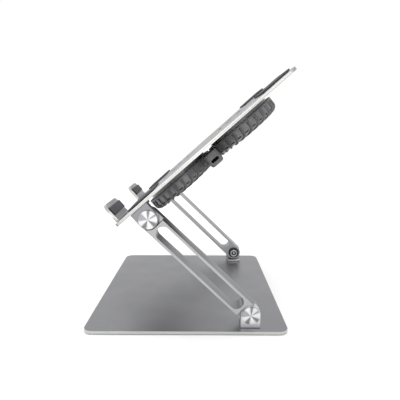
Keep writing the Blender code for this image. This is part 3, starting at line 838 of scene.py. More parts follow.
@dataclass(frozen=True)
class Metal:
    """A bare, blasted or anodised metal."""

    name: str
    colour: Colour
    roughness: float
    grain_scale: float = 1600.0
    grain_contrast: float = 0.10
    grain_height: float = 0.02 * MM
    drift: float = 0.05
    scuffs: float = 0.25
    scuff_colour: Colour = (0.62, 0.62, 0.63)

    def build(self, effects: Effects) -> bpy.types.Material:
        """Makes the material.

        Args:
            effects: The shared node groups.

        Returns:
            The finished material.
        """
        table = PaintTable(self.name, effects)
        gloss = {"Scale": 35.0, "Low": self.roughness * 0.9, "High": self.roughness * 1.12}
        grain, plain = table.grained(self, 14.0, gloss)
        scuffs = table.effect(effects.scuffs, Amount=self.scuffs).outputs["Mask"]
        table.feed(Base_Color=mix_node(table.tree, scuffs, plain, (*self.scuff_colour, 1)))
        table.settings(Metallic=1.0)
        table.bump(grain.outputs["Height"], self.grain_height, 0.6)
        return table.material


@dataclass(frozen=True)
class Moulded:
    """Plastic or rubber from a textured mould."""

    name: str
    colour: Colour
    roughness: float
    grain_scale: float = 900.0
    grain_contrast: float = 0.25
    grain_height: float = 0.06 * MM
    drift: float = 0.08
    dust: float = 0.15
    dust_colour: Colour = (0.32, 0.32, 0.31)

    def build(self, effects: Effects) -> bpy.types.Material:
        """Makes the material.

        Args:
            effects: The shared node groups.

        Returns:
            The finished material.
        """
        table = PaintTable(self.name, effects)
        gloss = {"Scale": 50.0, "Low": self.roughness * 0.88, "High": self.roughness * 1.12}
        grain, plain = table.grained(self, 25.0, gloss)
        dust = table.effect(effects.drift, Scale=120.0, Low=-0.2, High=self.dust).outputs["Value"]
        mask = math_node(table.tree, "MAXIMUM", dust, 0.0)
        table.feed(Base_Color=mix_node(table.tree, mask, plain, (*self.dust_colour, 1)))
        table.bump(grain.outputs["Height"], self.grain_height, 0.7)
        return table.material


@dataclass(frozen=True)
class TurnedFace:
    """A faced-off disc with fine rings, and a star of light and dark sectors about its middle painted into
    its colour as painted highlights and painted shade.
    """

    name: str
    middle: Vector
    # bright is the colour of the painted highlight sectors, dark the painted shade between them.
    bright: Colour = (0.72, 0.72, 0.73)
    dark: Colour = (0.21, 0.21, 0.215)
    rings_per_metre: float = 5200.0
    ring_height: float = 0.004 * MM
    softness: float = 15.0
    least_half: float = 2.0
    # Each painted highlight sector: middle angle and half width in degrees, and how bright.
    sectors: tuple[tuple[float, float, float], ...] = (
        (4, 17, 1.0),
        (57, 10, 0.9),
        (116, 13, 1.0),
        (160, 22, 0.3),
        (205, 14, 1.0),
        (285, 18, 1.0),
    )

    def build(self, effects: Effects) -> bpy.types.Material:
        """Makes the material, its painted star of highlights centred on the disc.

        Args:
            effects: The shared node groups.

        Returns:
            The finished material.
        """
        table = PaintTable(self.name, effects)
        tree = table.tree
        centred = tree.nodes.new("ShaderNodeMapping")
        plug(tree, centred.inputs["Location"], -self.middle)
        plug(tree, centred.inputs["Vector"], table.place)
        split = tree.nodes.new("ShaderNodeSeparateXYZ")
        plug(tree, split.inputs["Vector"], centred.outputs["Vector"])
        across, up = split.outputs["Y"], split.outputs["Z"]
        turn = math_node(tree, "ARCTAN2", up, across)
        star: bpy.types.NodeSocket | float = 0.0
        for middle, half, level in self.sectors:
            near = math_node(tree, "COSINE", math_node(tree, "SUBTRACT", turn, radians(middle)))
            full = max(half - self.softness, self.least_half)
            edges = (cos(radians(half + self.softness)), cos(radians(full)))
            sector = spread_node(tree, near, edges, (0.0, level), "SMOOTHSTEP")
            star = math_node(tree, "MAXIMUM", star, sector)
        squares = (math_node(tree, "MULTIPLY", side, side) for side in (across, up))
        radius = math_node(tree, "SQRT", math_node(tree, "ADD", *squares))
        rings = math_node(tree, "SINE", math_node(tree, "MULTIPLY", radius, self.rings_per_metre * 2 * pi))
        gloss = table.effect(effects.drift, Scale=60.0, Low=0.26, High=0.34)
        # The base colour is the painted star: painted highlight in the sectors, painted shade elsewhere.
        colour = mix_node(tree, star, (*self.dark, 1), (*self.bright, 1))
        table.feed(Base_Color=colour, Roughness=gloss.outputs["Value"])
        table.settings(Metallic=1.0)
        table.bump(rings, self.ring_height, 0.5)
        return table.material


class Finishes:
    """Every finish of the stand, made once."""

    def __init__(self) -> None:
        """Builds the shared effects and the plain finishes."""
        self.effects = Effects()
        make = self.effects
        self.grey_aluminium = Metal(
            "grey_anodised_aluminium",
            (0.265, 0.266, 0.28),
            0.36,
            grain_contrast=0.06,
            drift=0.03,
            scuffs=0.05,
        ).build(make)
        # A lighter copy of the grey anodised aluminium: painted highlight for the lower brackets, which catch
        # the light off the floor.
        self.lit_grey_aluminium = Metal(
            "silver_anodised_aluminium", (0.58, 0.58, 0.585), 0.36, drift=0.04
        ).build(make)
        # A lighter copy of the grey anodised aluminium: painted highlight for the arms' broad side faces.
        self.side_lit_aluminium = Metal(
            "pale_anodised_aluminium", (0.4, 0.4, 0.405), 0.36, drift=0.04
        ).build(make)
        # Bright cut metal of the machined chamfers, also laid on the plates' and hooks' broad sides as
        # painted sheen.
        self.cut_edge = Metal(
            "bright_cut_edge",
            (0.52, 0.52, 0.505),
            0.3,
            grain_contrast=0.05,
            grain_height=0.004 * MM,
            scuffs=0.1,
        ).build(make)
        self.steel = Metal(
            "plated_steel", (0.52, 0.52, 0.53), 0.27, grain_height=0.006 * MM, drift=0.08, scuffs=0.4
        ).build(make)
        self.black_steel = Metal(
            "black_oxide_steel", (0.035, 0.035, 0.038), 0.38, drift=0.15, scuff_colour=(0.3, 0.3, 0.3)
        ).build(make)
        self.rubber = Moulded(
            "charcoal_rubber", (0.055, 0.056, 0.06), 0.72, grain_scale=2600.0, grain_contrast=0.3, dust=0.05
        ).build(make)
        self.grey_plastic = Moulded("grey_moulded_plastic", (0.105, 0.105, 0.11), 0.44).build(make)
        self.fan_grey = Moulded(
            "light_grey_fan_plastic", (0.16, 0.16, 0.163), 0.2, grain_height=0.03 * MM
        ).build(make)
        self.black_plastic = Moulded("black_nylon", (0.014, 0.014, 0.015), 0.42, dust=0.08).build(make)
        self.lead_jacket = Moulded("lead_jacket", (0.018, 0.018, 0.02), 0.5, grain_scale=2500.0).build(make)
        self.solder_mask = Moulded(
            "green_solder_mask", (0.012, 0.09, 0.035), 0.3, grain_scale=700.0, dust_colour=(0.4, 0.33, 0.12)
        ).build(make)

    def painted_star_face(self, name: str, middle: Vector) -> bpy.types.Material:
        """The turned finish of one cap, with its painted star of highlights centred on its own axis."""
        return TurnedFace(name, middle).build(self.effects)


@dataclass
class Assembly:
    """What every sub-assembly shares: the bench, the places and the finishes."""

    places: Places
    finishes: Finishes

    def dress(self, piece: Piece, *materials: bpy.types.Material) -> None:
        """Gives a piece its material slots, the main one first."""
        piece.data.materials.clear()
        for material in materials:
            piece.data.materials.append(material)

    def dress_node(self, node: str, finish: bpy.types.Material) -> None:
        """Gives a node of the frame its finish."""
        for slot in frame["nodes"][node].material_slots:
            slot.material = finish

    def refinish(self, piece: Piece, wanted: Pick, slot: int = SECOND) -> None:
        """Gives the faces that pass a test another of the piece's finishes."""
        with Workbench.editing(piece, wanted):
            Workbench.paint(slot)

    def hand_over(self, piece: Piece, body: str, slot: str, *nodes: str) -> None:
        """Ties a finished piece to its body and hides the nodes it stands for.

        Args:
            piece: The finished piece.
            body: The body it moves with.
            slot: The record's material slot. Not used.
            *nodes: The nodes that it replaces.
        """
        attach(piece, body)
        if nodes:
            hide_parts(*nodes)
        LOG.info("%s: %d faces", piece.name, len(piece.data.polygons))

    def hand_over_pair(self, piece: Piece, name: str, place: Matrix, body: str, slot: str) -> None:
        """Sets a right-hand piece in place, mirrors it and hands both over.

        Args:
            piece: The piece for the right-hand side, about its own frame.
            name: What its two nodes are called, without the side.
            place: The piece's frame in the stand.
            body: The body both move with.
            slot: The record's material slot.
        """
        right = Workbench.moved(piece, place)
        right.name = right.data.name = f"{name}_right_piece"
        left = Workbench.copy(right, f"{name}_left_piece", mirror_x())
        Workbench.smooth(left)
        self.hand_over(right, body, slot, f"{name}_right")
        self.hand_over(left, body, slot, f"{name}_left")


# ------------------------------------------------------------------ small fixings


@dataclass
class Fixings(Assembly):
    """Countersunk screws in the base, the tray and the fans' flanges."""

    head_radius: float = 3.5 * MM
    shank_radius: float = 2.0 * MM
    fan_head_radius: float = 2.4 * MM
    fan_shank_radius: float = 1.2 * MM
    base_length: float = 4.6 * MM
    tray_length: float = 4.8 * MM
    fan_length: float = 5.3 * MM
    rim: float = 0.15 * MM
    edge: float = 0.08 * MM
    socket_share: float = 0.42
    socket_depth: float = 0.9 * MM
    recess: float = 0.1 * MM
    sides: int = 36

    def screw(self, name: str, head: float, shank: float, length: float) -> Piece:
        """A flat head with a hexagon socket, its shank along -Z.

        Args:
            name: The screw's name.
            head: Head radius.
            shank: Shank radius.
            length: From the head's face to the shank's end.

        Returns:
            The screw, its head's face at the origin.
        """
        cone = head - shank
        piece = Workbench.disc(name, head, -self.rim, 0.0, self.sides)
        with Workbench.editing(piece, facing(Z, -1)):
            Workbench.pull(0, 0, -cone)
            bpy.ops.transform.resize(value=(shank / head, shank / head, 1))
            Workbench.pull(0, 0, self.rim + cone - length)
        Workbench.drill(piece, head * self.socket_share, -self.socket_depth, OVERRUN, 6)
        Workbench.chamfer(piece, self.edge, 2)
        Workbench.smooth(piece)
        self.dress(piece, self.finishes.steel)
        return piece

    def build(self) -> None:
        """Makes one screw of each kind and copies it to every seat."""
        large, small = (self.head_radius, self.shank_radius), (self.fan_head_radius, self.fan_shank_radius)
        kinds = {
            "base": ("base", self.screw("base_screw", *large, self.base_length)),
            "tray": ("tray", self.screw("tray_screw", *large, self.tray_length)),
            "fan": ("tray", self.screw("fan_screw", *small, self.fan_length)),
        }
        for kind, (body, pattern) in kinds.items():
            for corner in corners():
                node = f"{kind}_screw_{corner}"
                made = Workbench.copy(pattern, f"{node}_piece", self.seat(kind, node))
                self.hand_over(made, body, "steel", node)
            bpy.data.objects.remove(pattern)

    def seat(self, kind: str, node: str) -> Matrix:
        """Where one screw's head lies.

        Args:
            kind: base, tray or fan.
            node: The screw's node in the frame.

        Returns:
            The frame of the screw's head, with +Z out of the head's face.
        """
        middle = middle_of(node)
        if kind == "base":
            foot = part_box(node)[0].z
            return Matrix.Translation((middle.x, middle.y, foot)) @ Matrix.Rotation(pi, 4, "X")
        inside = self.places.at_tray.inverted() @ middle
        inside.z = Tray.top_height() - self.recess
        return self.places.at_tray @ Matrix.Translation(inside)


# ------------------------------------------------------------------ base


@dataclass
class Base(Assembly):
    """The base plate with its four feet."""

    corner: float = 10 * MM
    edge: float = 0.6 * MM
    foot_radius: float = 9 * MM
    foot_height: float = 1.5 * MM
    foot_edge: float = 0.18 * MM
    tread: tuple[tuple[float, float], ...] = (
        (2.2 * MM, 0.4 * MM),
        (1.6 * MM, -0.4 * MM),
        (1.6 * MM, 0.4 * MM),
    )
    screw_hole: float = 3.6 * MM

    def build(self) -> None:
        """Models the plate and its feet."""
        self.build_plate()
        self.build_feet()

    def build_plate(self) -> None:
        """A thin plate with round corners, bright cut chamfers, sides painted bright as painted sheen, and a
        shallow pocket for each foot.
        """
        low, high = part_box("base_plate")
        plate = Workbench.block("base_plate_piece", low, high)
        Workbench.round_edges(plate, along(Z), self.corner, 16)
        for corner in corners():
            node = f"foot_{corner}"
            sizes = (self.foot_radius + AIR, low.z - OVERRUN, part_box(node)[1].z + AIR, 48)
            Workbench.drill(plate, *sizes, middle=middle_of(node).xy)
        for corner in corners():
            sizes = (self.screw_hole, low.z - OVERRUN, high.z + OVERRUN, 24)
            Workbench.drill(plate, *sizes, middle=middle_of(f"base_screw_{corner}").xy)
        self.dress(plate, self.finishes.grey_aluminium, self.finishes.cut_edge)
        half = high - Vector((0, 0, high.z))
        Workbench.chamfer(plate, self.edge, 1, slot=SECOND)
        # The chamfers are real bright cuts; the plate's sides get the same bright finish as painted sheen.
        self.refinish(plate, lambda middle, normal: abs(normal.z) < 0.5 and self.on_rim(middle, half))
        Workbench.smooth(plate, flat=lies_level)
        self.hand_over(plate, "base", "grey_aluminium", "base_plate")

    def on_rim(self, middle: Vector, half: Vector) -> bool:
        """Whether a face's middle lies in the band along the plate's outline."""
        return abs(middle.x) > half.x - self.corner or abs(middle.y) > half.y - self.corner

    def build_feet(self) -> None:
        """One foot with a ringed tread, copied to the four corners."""
        foot = Workbench.disc("foot", self.foot_radius, 0.0, self.foot_height, 48)
        with Workbench.editing(foot, facing(Z, -1)):
            for step, depth in self.tread:
                bpy.ops.mesh.inset(thickness=step)
                Workbench.pull(0, 0, depth)
        self.dress(foot, self.finishes.rubber)
        Workbench.chamfer(foot, self.foot_edge, 2)
        Workbench.smooth(foot)
        for corner in corners():
            node = f"foot_{corner}"
            place = Matrix.Translation((*middle_of(node).xy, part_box(node)[0].z))
            made = Workbench.copy(foot, f"{node}_piece", place)
            self.hand_over(made, "base", "rubber", node)
        bpy.data.objects.remove(foot)


# ------------------------------------------------------------------ hinges and arms


@dataclass
class Brackets(Assembly):
    """The four cheeks that carry the pivots, each with a flange at its foot."""

    inner: float = 91.5 * MM
    cheek_inner: float = 103.8 * MM
    cheek_outer: float = 112.5 * MM
    half_width: float = 10.2 * MM
    flange_half_width: float = 9.6 * MM
    flange_thickness: float = 2.6 * MM
    flange_corner: float = 1.5 * MM
    flange_edge: float = 0.35 * MM
    flange_root: float = 3 * MM
    screw_y: float = 5.2 * MM
    hole_radius: float = 2.3 * MM
    hole_depth: float = 1.8 * MM
    bolt_radius: float = 3 * MM
    head_radius: float = 6 * MM
    head_height: float = 2.6 * MM
    edge: float = 0.6 * MM

    def cheek(self, foot: float, finish: bpy.types.Material) -> Piece:
        """A bracket about its joint line, its flange on the level foot.

        Args:
            foot: Height of the foot, below the joint line if negative.
            finish: What its faces are finished in.

        Returns:
            The bracket for the right-hand side.
        """
        way = 1 if foot < 0 else -1
        low, high = sorted((foot, way * self.half_width))
        outer, half = self.cheek_outer, self.half_width
        cheek = Workbench.block("bracket", (self.cheek_inner, -half, low), (outer, half, high))

        def across_far_end(a: Vector, b: Vector) -> bool:
            """Picks the edges across the end away from the foot."""
            return along(X)(a, b) and min(a.z * way, b.z * way) > half / 2

        Workbench.round_edges(cheek, across_far_end, half * FULL_ROUND, 20)
        self.dress(cheek, finish, self.finishes.cut_edge)
        Workbench.chamfer(cheek, self.edge, 1, slot=SECOND)
        Workbench.carve(cheek, self.flange(foot, way, finish), "UNION")
        for sizes in (
            (self.bolt_radius + AIR, self.cheek_inner - OVERRUN, outer + OVERRUN, 32),
            (self.head_radius + AIR, outer - self.head_height - AIR, outer + OVERRUN, 40),
        ):
            Workbench.drill(cheek, *sizes, about=Direction.ALONG_X)
        low, high = sorted((foot - way * OVERRUN, foot + way * self.hole_depth))
        for y in (-self.screw_y, self.screw_y):
            screw_x = (self.inner + self.cheek_inner) / 2
            Workbench.drill(cheek, self.hole_radius, low, high, 20, middle=(screw_x, y))
        self.dress(cheek, finish, self.finishes.cut_edge, self.finishes.grey_aluminium)
        # The cheek's inner faces take the darker grey as painted shade, where the arm's end shadows them.
        self.refinish(cheek, lambda middle, normal: normal.x < -0.5 and middle.x > self.inner + MM, THIRD)
        Workbench.smooth(cheek)
        return cheek

    def flange(self, foot: float, way: int, finish: bpy.types.Material) -> Piece:
        """The flange that the screws go through, a little inside the cheek.

        Args:
            foot: Height of the foot.
            way: 1 where the flange stands up from the foot, -1 where it hangs.
            finish: What its faces are finished in.

        Returns:
            The flange for the right-hand side.
        """
        low, high = sorted((foot, foot + way * self.flange_thickness))
        half, root = self.flange_half_width, self.cheek_inner + self.flange_root
        flange = Workbench.block("flange", (self.inner, -half, low), (root, half, high))

        def at_inner_end(a: Vector, b: Vector) -> bool:
            """Picks the two upright edges away from the cheek."""
            return along(Z)(a, b) and a.x < self.inner + MM

        Workbench.round_edges(flange, at_inner_end, self.flange_corner, 5)
        self.dress(flange, finish, self.finishes.cut_edge)
        Workbench.chamfer(flange, self.flange_edge, 1, slot=SECOND)
        return flange

    def build(self) -> None:
        """Models the lower and the upper bracket and mirrors each."""
        lower_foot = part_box("base_plate")[1].z + AIR - self.places.lower.z
        levels = {
            # The lower brackets take the lighter copy of the grey aluminium as painted highlight.
            "lower": ("base", lower_foot, self.places.at_lower, self.finishes.lit_grey_aluminium),
            "upper": ("tray", Tray.underside - AIR, self.places.at_tray, self.finishes.grey_aluminium),
        }
        for level, (body, foot, place, finish) in levels.items():
            self.hand_over_pair(self.cheek(foot, finish), f"{level}_bracket", place, body, "grey_aluminium")


@dataclass
class Arms(Assembly):
    """The two slotted arms, each machined away at its ends where the cheeks swing."""

    inner: float = 93 * MM
    knuckle_outer: float = 103.4 * MM
    outer: float = Brackets.cheek_outer
    half_width: float = 9.8 * MM
    slot_half_width: float = 7.3 * MM
    slot_margin: float = 13.2 * MM
    clearance: float = 10.8 * MM
    beyond: float = 16 * MM
    bore_radius: float = 3.3 * MM
    edge: float = 1.0 * MM

    def bar(self, name: str, low_y: float, high_y: float, half: float, low_x: float, high_x: float) -> Piece:
        """A bar with round ends, lying along Y.

        Args:
            name: The piece's name.
            low_y: Where its first round end is centred.
            high_y: Where its second round end is centred.
            half: Half its width.
            low_x: Its inner face.
            high_x: Its outer face.

        Returns:
            The bar.
        """
        bar = Workbench.block(name, (low_x, low_y - half, -half), (high_x, high_y + half, half))
        Workbench.round_edges(bar, along(X), half * FULL_ROUND, 20)
        return bar

    def build(self) -> None:
        """Models the right arm along -Y of its frame, and mirrors it."""
        length = self.places.arm_length
        arm = self.bar("arm", -length, 0.0, self.half_width, self.inner, self.outer)
        inset = self.slot_margin + self.slot_half_width
        low, high = self.inner - OVERRUN, self.outer + OVERRUN
        Workbench.carve(arm, self.bar("slot", -length + inset, -inset, self.slot_half_width, low, high))
        for end in (1, -1):
            for cutter in self.cheek_cutters(end, length):
                Workbench.carve(arm, cutter)
        for y in (0.0, -length):
            Workbench.drill(arm, self.bore_radius, low, high, 32, about=Direction.ALONG_X, middle=(y, 0.0))
        self.dress(arm, self.finishes.grey_aluminium, self.finishes.cut_edge, self.finishes.side_lit_aluminium)
        Workbench.chamfer(arm, self.edge, 1, slot=SECOND)
        # The broad side faces take the lighter copy of the grey as painted highlight.
        self.refinish(arm, lambda _, normal: abs(normal.x) > FACING, THIRD)
        Workbench.smooth(arm)
        self.hand_over_pair(arm, "arm", self.places.at_arm, "arms", "grey_aluminium")

    def cheek_cutters(self, end: int, length: float) -> list[Piece]:
        """What takes the outer half of one end away: a round about the joint and two blocks.

        Args:
            end: 1 for the lower end, -1 for the upper one.
            length: Between the two joint lines.

        Returns:
            The cutters.
        """
        low_x, high_x = self.knuckle_outer, self.outer + OVERRUN
        centre = 0.0 if end > 0 else -length

        def span(start: float, stop: float) -> list[float]:
            """A stretch of the arm, measured outwards from the joint."""
            return sorted((centre + end * start, centre + end * stop))

        across = span(-self.clearance, self.beyond)
        past = span(0.0, self.beyond)
        below = sorted((0.0, -end * self.beyond))
        return [
            Workbench.disc("round", self.clearance, low_x, high_x, 96, Direction.ALONG_X, (centre, 0.0)),
            Workbench.block("below", (low_x, across[0], below[0]), (high_x, across[1], below[1])),
            Workbench.block("past", (low_x, past[0], -self.beyond), (high_x, past[1], self.beyond)),
        ]


@dataclass
class Pivots(Assembly):
    """Bolt, turned cap, friction washer and nut of each hinge."""

    cheek_outer: float = Brackets.cheek_outer
    knuckle_inner: float = Arms.inner
    cap_radius: float = 9.3 * MM
    cap_height: float = 1.2 * MM
    cap_edge: float = 0.35 * MM
    mark_radius: float = 0.7 * MM
    mark_depth: float = 0.12 * MM
    bolt_radius: float = Brackets.bolt_radius
    head_radius: float = Brackets.head_radius
    head_height: float = Brackets.head_height
    socket_radius: float = 2.6 * MM
    socket_depth: float = 1.6 * MM
    tip_radius: float = 1.6 * MM
    tip_length: float = 0.9 * MM
    bolt_reach: float = 4.6 * MM
    washer_radius: float = 8 * MM
    washer_height: float = 1.2 * MM
    washer_edge: float = 0.25 * MM
    nut_radius: float = 5.3 * MM
    nut_height: float = 2.2 * MM
    nut_rim: float = 0.5 * MM
    nut_step: float = 0.3 * MM
    edge: float = 0.15 * MM

    def cap(self) -> Piece:
        """A thin disc with a soft rim and a small centre mark.

        Returns:
            The cap of a right-hand pivot.
        """
        low = self.cheek_outer + AIR
        piece = Workbench.disc("cap", self.cap_radius, low, low + self.cap_height, 96, Direction.ALONG_X)
        with Workbench.editing(piece, facing(X, 1)):
            bpy.ops.mesh.inset(thickness=self.cap_radius - self.mark_radius)
            Workbench.pull(-self.mark_depth, 0, 0)
        Workbench.chamfer(piece, self.cap_edge, 3, over=60)
        return piece

    def bolt(self) -> Piece:
        """A cheese-head bolt whose turned-down tip shows inside the nut.

        Returns:
            The bolt of a right-hand pivot.
        """
        tip = self.knuckle_inner - self.bolt_reach
        shoulder, outer = tip + self.tip_length, self.cheek_outer
        seat = outer - self.head_height
        piece = Workbench.disc("bolt", self.bolt_radius, shoulder, seat, 40, Direction.ALONG_X)
        self.dress(piece, self.finishes.black_steel, self.finishes.steel)
        with Workbench.editing(piece, facing(X, -1)):
            bpy.ops.mesh.inset(thickness=self.bolt_radius - self.tip_radius)
            Workbench.pull(-self.tip_length, 0, 0)
            Workbench.paint(SECOND)
        head = Workbench.disc("head", self.head_radius, seat, outer, 40, Direction.ALONG_X)
        sizes = (self.socket_radius, outer - self.socket_depth, outer + OVERRUN, 6)
        Workbench.drill(head, *sizes, about=Direction.ALONG_X)
        Workbench.carve(piece, head, "UNION")
        Workbench.chamfer(piece, self.edge, 2)
        return piece

    def washer(self) -> Piece:
        """The friction washer against the arm's inner face.

        Returns:
            The washer of a right-hand pivot.
        """
        high = self.knuckle_inner - AIR
        sizes = (self.washer_radius, self.bolt_radius + AIR, high - self.washer_height, high, 64)
        piece = Workbench.collar("washer", *sizes, Direction.ALONG_X)
        Workbench.chamfer(piece, self.washer_edge, 2)
        return piece

    def nut(self) -> Piece:
        """A round lock nut with a stepped face.

        Returns:
            The nut of a right-hand pivot.
        """
        high = self.knuckle_inner - AIR - self.washer_height - AIR
        sizes = (self.nut_radius, self.bolt_radius + AIR, high - self.nut_height, high, 56)
        piece = Workbench.collar("nut", *sizes, Direction.ALONG_X)
        with Workbench.editing(piece, facing(X, -1)):
            bpy.ops.mesh.inset(thickness=self.nut_rim)
            Workbench.pull(self.nut_step, 0, 0)
        Workbench.chamfer(piece, self.edge, 2)
        return piece

    def build(self) -> None:
        """Makes one set and copies it to all four hinges."""
        patterns = {
            "cap": (self.cap(), "bright_steel", None),
            "bolt": (self.bolt(), "steel", None),
            "washer": (self.washer(), "black_steel", self.finishes.black_steel),
            "nut": (self.nut(), "steel", self.finishes.steel),
        }
        levels = {"lower": ("base", self.places.at_lower), "upper": ("tray_pivots", self.places.at_upper)}
        for kind, (pattern, slot, finish) in patterns.items():
            if finish is not None:
                self.dress(pattern, finish)
            for level, (body, place) in levels.items():
                for side in Side:
                    node = f"{level}_{kind}_{side.word}"
                    matrix = place if side is Side.RIGHT else place @ mirror_x()
                    made = Workbench.copy(pattern, f"{node}_piece", matrix)
                    Workbench.smooth(made)
                    if kind == "cap":
                        # Each cap has its own star of painted highlights and shade, centred on its axis.
                        face = self.finishes.painted_star_face(f"turned_{level}_{side.word}", matrix.translation)
                        self.dress(made, face)
                    self.hand_over(made, body, slot, node)
            bpy.data.objects.remove(pattern)


# ------------------------------------------------------------------ tray


@dataclass
class Vents:
    """The swept air slots over one fan, cut through the tray."""

    inner_ring: tuple[float, float, int, float] = (9 * MM, 20 * MM, 6, 4 * MM)
    outer_ring: tuple[float, float, int, float] = (24 * MM, 38.5 * MM, 12, 6.4 * MM)
    sweep: float = radians(22)
    round_end: float = 1.1 * MM
    columns: int = 10

    def slot(self, inner: float, outer: float, width: float, low: float, high: float) -> Piece:
        """One slot along +X that leans over as it runs outwards.

        Args:
            inner: Radius where it starts.
            outer: Radius where it ends.
            width: Its width.
            low: Its lower end.
            high: Its upper end.

        Returns:
            The cutter.
        """
        Workbench.only(None)
        bpy.ops.mesh.primitive_grid_add(
            x_subdivisions=self.columns, y_subdivisions=1, size=1, location=((inner + outer) / 2, 0, low)
        )
        piece = bpy.context.object
        piece.name, piece.scale = "vent", (outer - inner, width, 1)
        Workbench.settle(piece)
        with Workbench.editing(piece):
            Workbench.pull(0, 0, high - low)
        Workbench.face_out(piece)

        def at_ends(a: Vector, b: Vector) -> bool:
            """Picks the upright edges at the slot's two ends."""
            ends = (a.x, b.x)
            return along(Z)(a, b) and (min(ends) > outer - NEAR or max(ends) < inner + NEAR)

        def lean(point: Vector) -> Vector:
            """Turns a point round the fan's axis, the more the further out it lies."""
            turn = self.sweep * (point.x - inner) / (outer - inner) + point.y / point.x
            return Vector((point.x * cos(turn), point.x * sin(turn), point.z))

        Workbench.round_edges(piece, at_ends, self.round_end, 5)
        Workbench.warp(piece, lean)
        return piece

    def cutter(self, low: float, high: float) -> Piece:
        """All slots of one fan as one cutter about +Z.

        Args:
            low: Lower end of the slots.
            high: Upper end of the slots.

        Returns:
            The cutter.
        """
        slots = []
        for inner, outer, count, width in (self.inner_ring, self.outer_ring):
            slots += Workbench.ring(self.slot(inner, outer, width, low, high), count)
        return Workbench.joined("vents", slots)


@dataclass
class Tray(Assembly):
    """The vented tray with its two hooks, and the pads on both."""

    underside = 14.2 * MM
    thickness = 3.2 * MM
    front: float = -28.7 * MM
    back: float = 198.4 * MM
    half_width: float = 115.5 * MM
    corner: float = 8 * MM
    edge: float = 0.6 * MM
    hook_inner: float = 41 * MM
    hook_outer: float = 91 * MM
    hook_rise: float = 21.5 * MM
    hook_corner: float = 8 * MM
    hook_bend: float = 1.2 * MM
    hook_root: float = 6 * MM
    pad_inner: float = 47 * MM
    pad_outer: float = 107 * MM
    pad_depth: float = 33 * MM
    pad_thickness: float = 1.7 * MM
    pad_corner: float = 4 * MM
    pad_edge: float = 0.4 * MM
    pad_fronts: ClassVar[dict[Row, float]] = {Row.FRONT: -11.5 * MM, Row.REAR: 161.5 * MM}
    hook_pad_low: float = 6.5 * MM
    hook_pad_margin: float = 2.2 * MM
    hook_pad_tip: float = 5 * MM
    hook_pad_thickness: float = 1.5 * MM
    hook_pad_corner: float = 1.5 * MM
    screw_x: float = (Brackets.inner + Brackets.cheek_inner) / 2
    screw_y: float = Brackets.screw_y
    screw_hole: float = Base.screw_hole
    fan_screw_radius: float = 45.9 * MM
    fan_screw_hole: float = 2.5 * MM
    vents: Vents = field(default_factory=Vents)

    @classmethod
    def top_height(cls) -> float:
        """Height of the tray's top above the upper joint line."""
        return cls.underside + cls.thickness

    def hook(self, side: Side) -> Piece:
        """A stop at the tray's front, swept up round its bend and drawn out to its tip.

        Args:
            side: Which of the two hooks.

        Returns:
            The hook, its root inside the plate.
        """
        top = self.top_height()
        bend_y, bend_z = self.front + self.hook_bend, top + self.hook_bend
        root = self.front + self.hook_root
        low, high = (self.hook_inner, bend_y, self.underside), (self.hook_outer, root, top)
        hook = Workbench.block("hook", low, high)
        with Workbench.editing(hook, facing(Y, -1)):
            bpy.ops.mesh.spin(steps=8, angle=pi / 2, center=(0, bend_y, bend_z), axis=(1, 0, 0))
            Workbench.pull(0, 0, self.hook_rise - self.hook_bend)
        Workbench.face_out(hook)
        tip = top + self.hook_rise

        def at_tip(a: Vector, b: Vector) -> bool:
            """Picks the two short edges at the hook's tip."""
            return along(Y)(a, b) and min(a.z, b.z) > tip - NEAR

        Workbench.round_edges(hook, at_tip, self.hook_corner, 10)
        if side is Side.LEFT:
            Workbench.moved(hook, mirror_x())
            Workbench.face_out(hook)
        return hook

    def build(self) -> None:
        """Models the plate, cuts its vents, joins its hooks and adds the pads."""
        top, half = self.top_height(), self.half_width
        low, high = (-half, self.front, self.underside), (half, self.back, top)
        plate = Workbench.block("tray_plate_piece", low, high)
        Workbench.round_edges(plate, along(Z), self.corner, 14)
        for side in Side:
            Workbench.carve(plate, self.hook(side), "UNION")
        for row in Row:
            cutter = self.vents.cutter(self.underside - OVERRUN, top + OVERRUN)
            up_tray = self.places.along_tray(self.places.fans[row])
            Workbench.carve(plate, Workbench.moved(cutter, Matrix.Translation((0, up_tray, 0))))
        for x, y, radius in self.screw_seats():
            Workbench.drill(plate, radius, self.underside - OVERRUN, top + OVERRUN, 24, middle=(x, y))
        self.dress(plate, self.finishes.grey_aluminium, self.finishes.cut_edge)
        Workbench.chamfer(plate, self.edge, 1, slot=SECOND)
        self.refinish(plate, self.on_edge)
        Workbench.smooth(plate, flat=lies_level)
        Workbench.moved(plate, self.places.at_tray)
        self.hand_over(plate, "tray", "grey_aluminium", "tray_plate")
        self.build_pads()

    def on_edge(self, middle: Vector, normal: Vector) -> bool:
        """Picks the faces that take the bright finish as painted sheen: the plate's sides, its front face and
        the hooks' sides and tops.

        Args:
            middle: The face's middle.
            normal: Its normal.

        Returns:
            Whether the face is one of them.
        """
        outer = abs(middle.x) > self.half_width - self.corner or middle.y > self.back - self.corner
        # The front corners' faces that turn part way forward keep the darker grey, as painted shade.
        outer = outer and normal.y > -0.5
        hook = middle.z > self.top_height() + MM and (abs(normal.x) > 0.3 or normal.z > 0.3)
        front = normal.y < -0.9 and middle.z < self.top_height() and abs(middle.x) < self.half_width
        return abs(normal.z) < 0.5 and outer or hook or front and middle.y > self.front - MM

    def screw_seats(self) -> list[tuple[float, float, float]]:
        """Every screw hole of the plate.

        Returns:
            (x, distance up the tray, radius) of each hole.
        """
        seats = [
            (side.value * self.screw_x, sign * self.screw_y, self.screw_hole)
            for side in Side
            for sign in (-1, 1)
        ]
        for point in self.places.fans.values():
            up_tray = self.places.along_tray(point)
            seats += [(side.value * self.fan_screw_radius, up_tray, self.fan_screw_hole) for side in Side]
        return seats

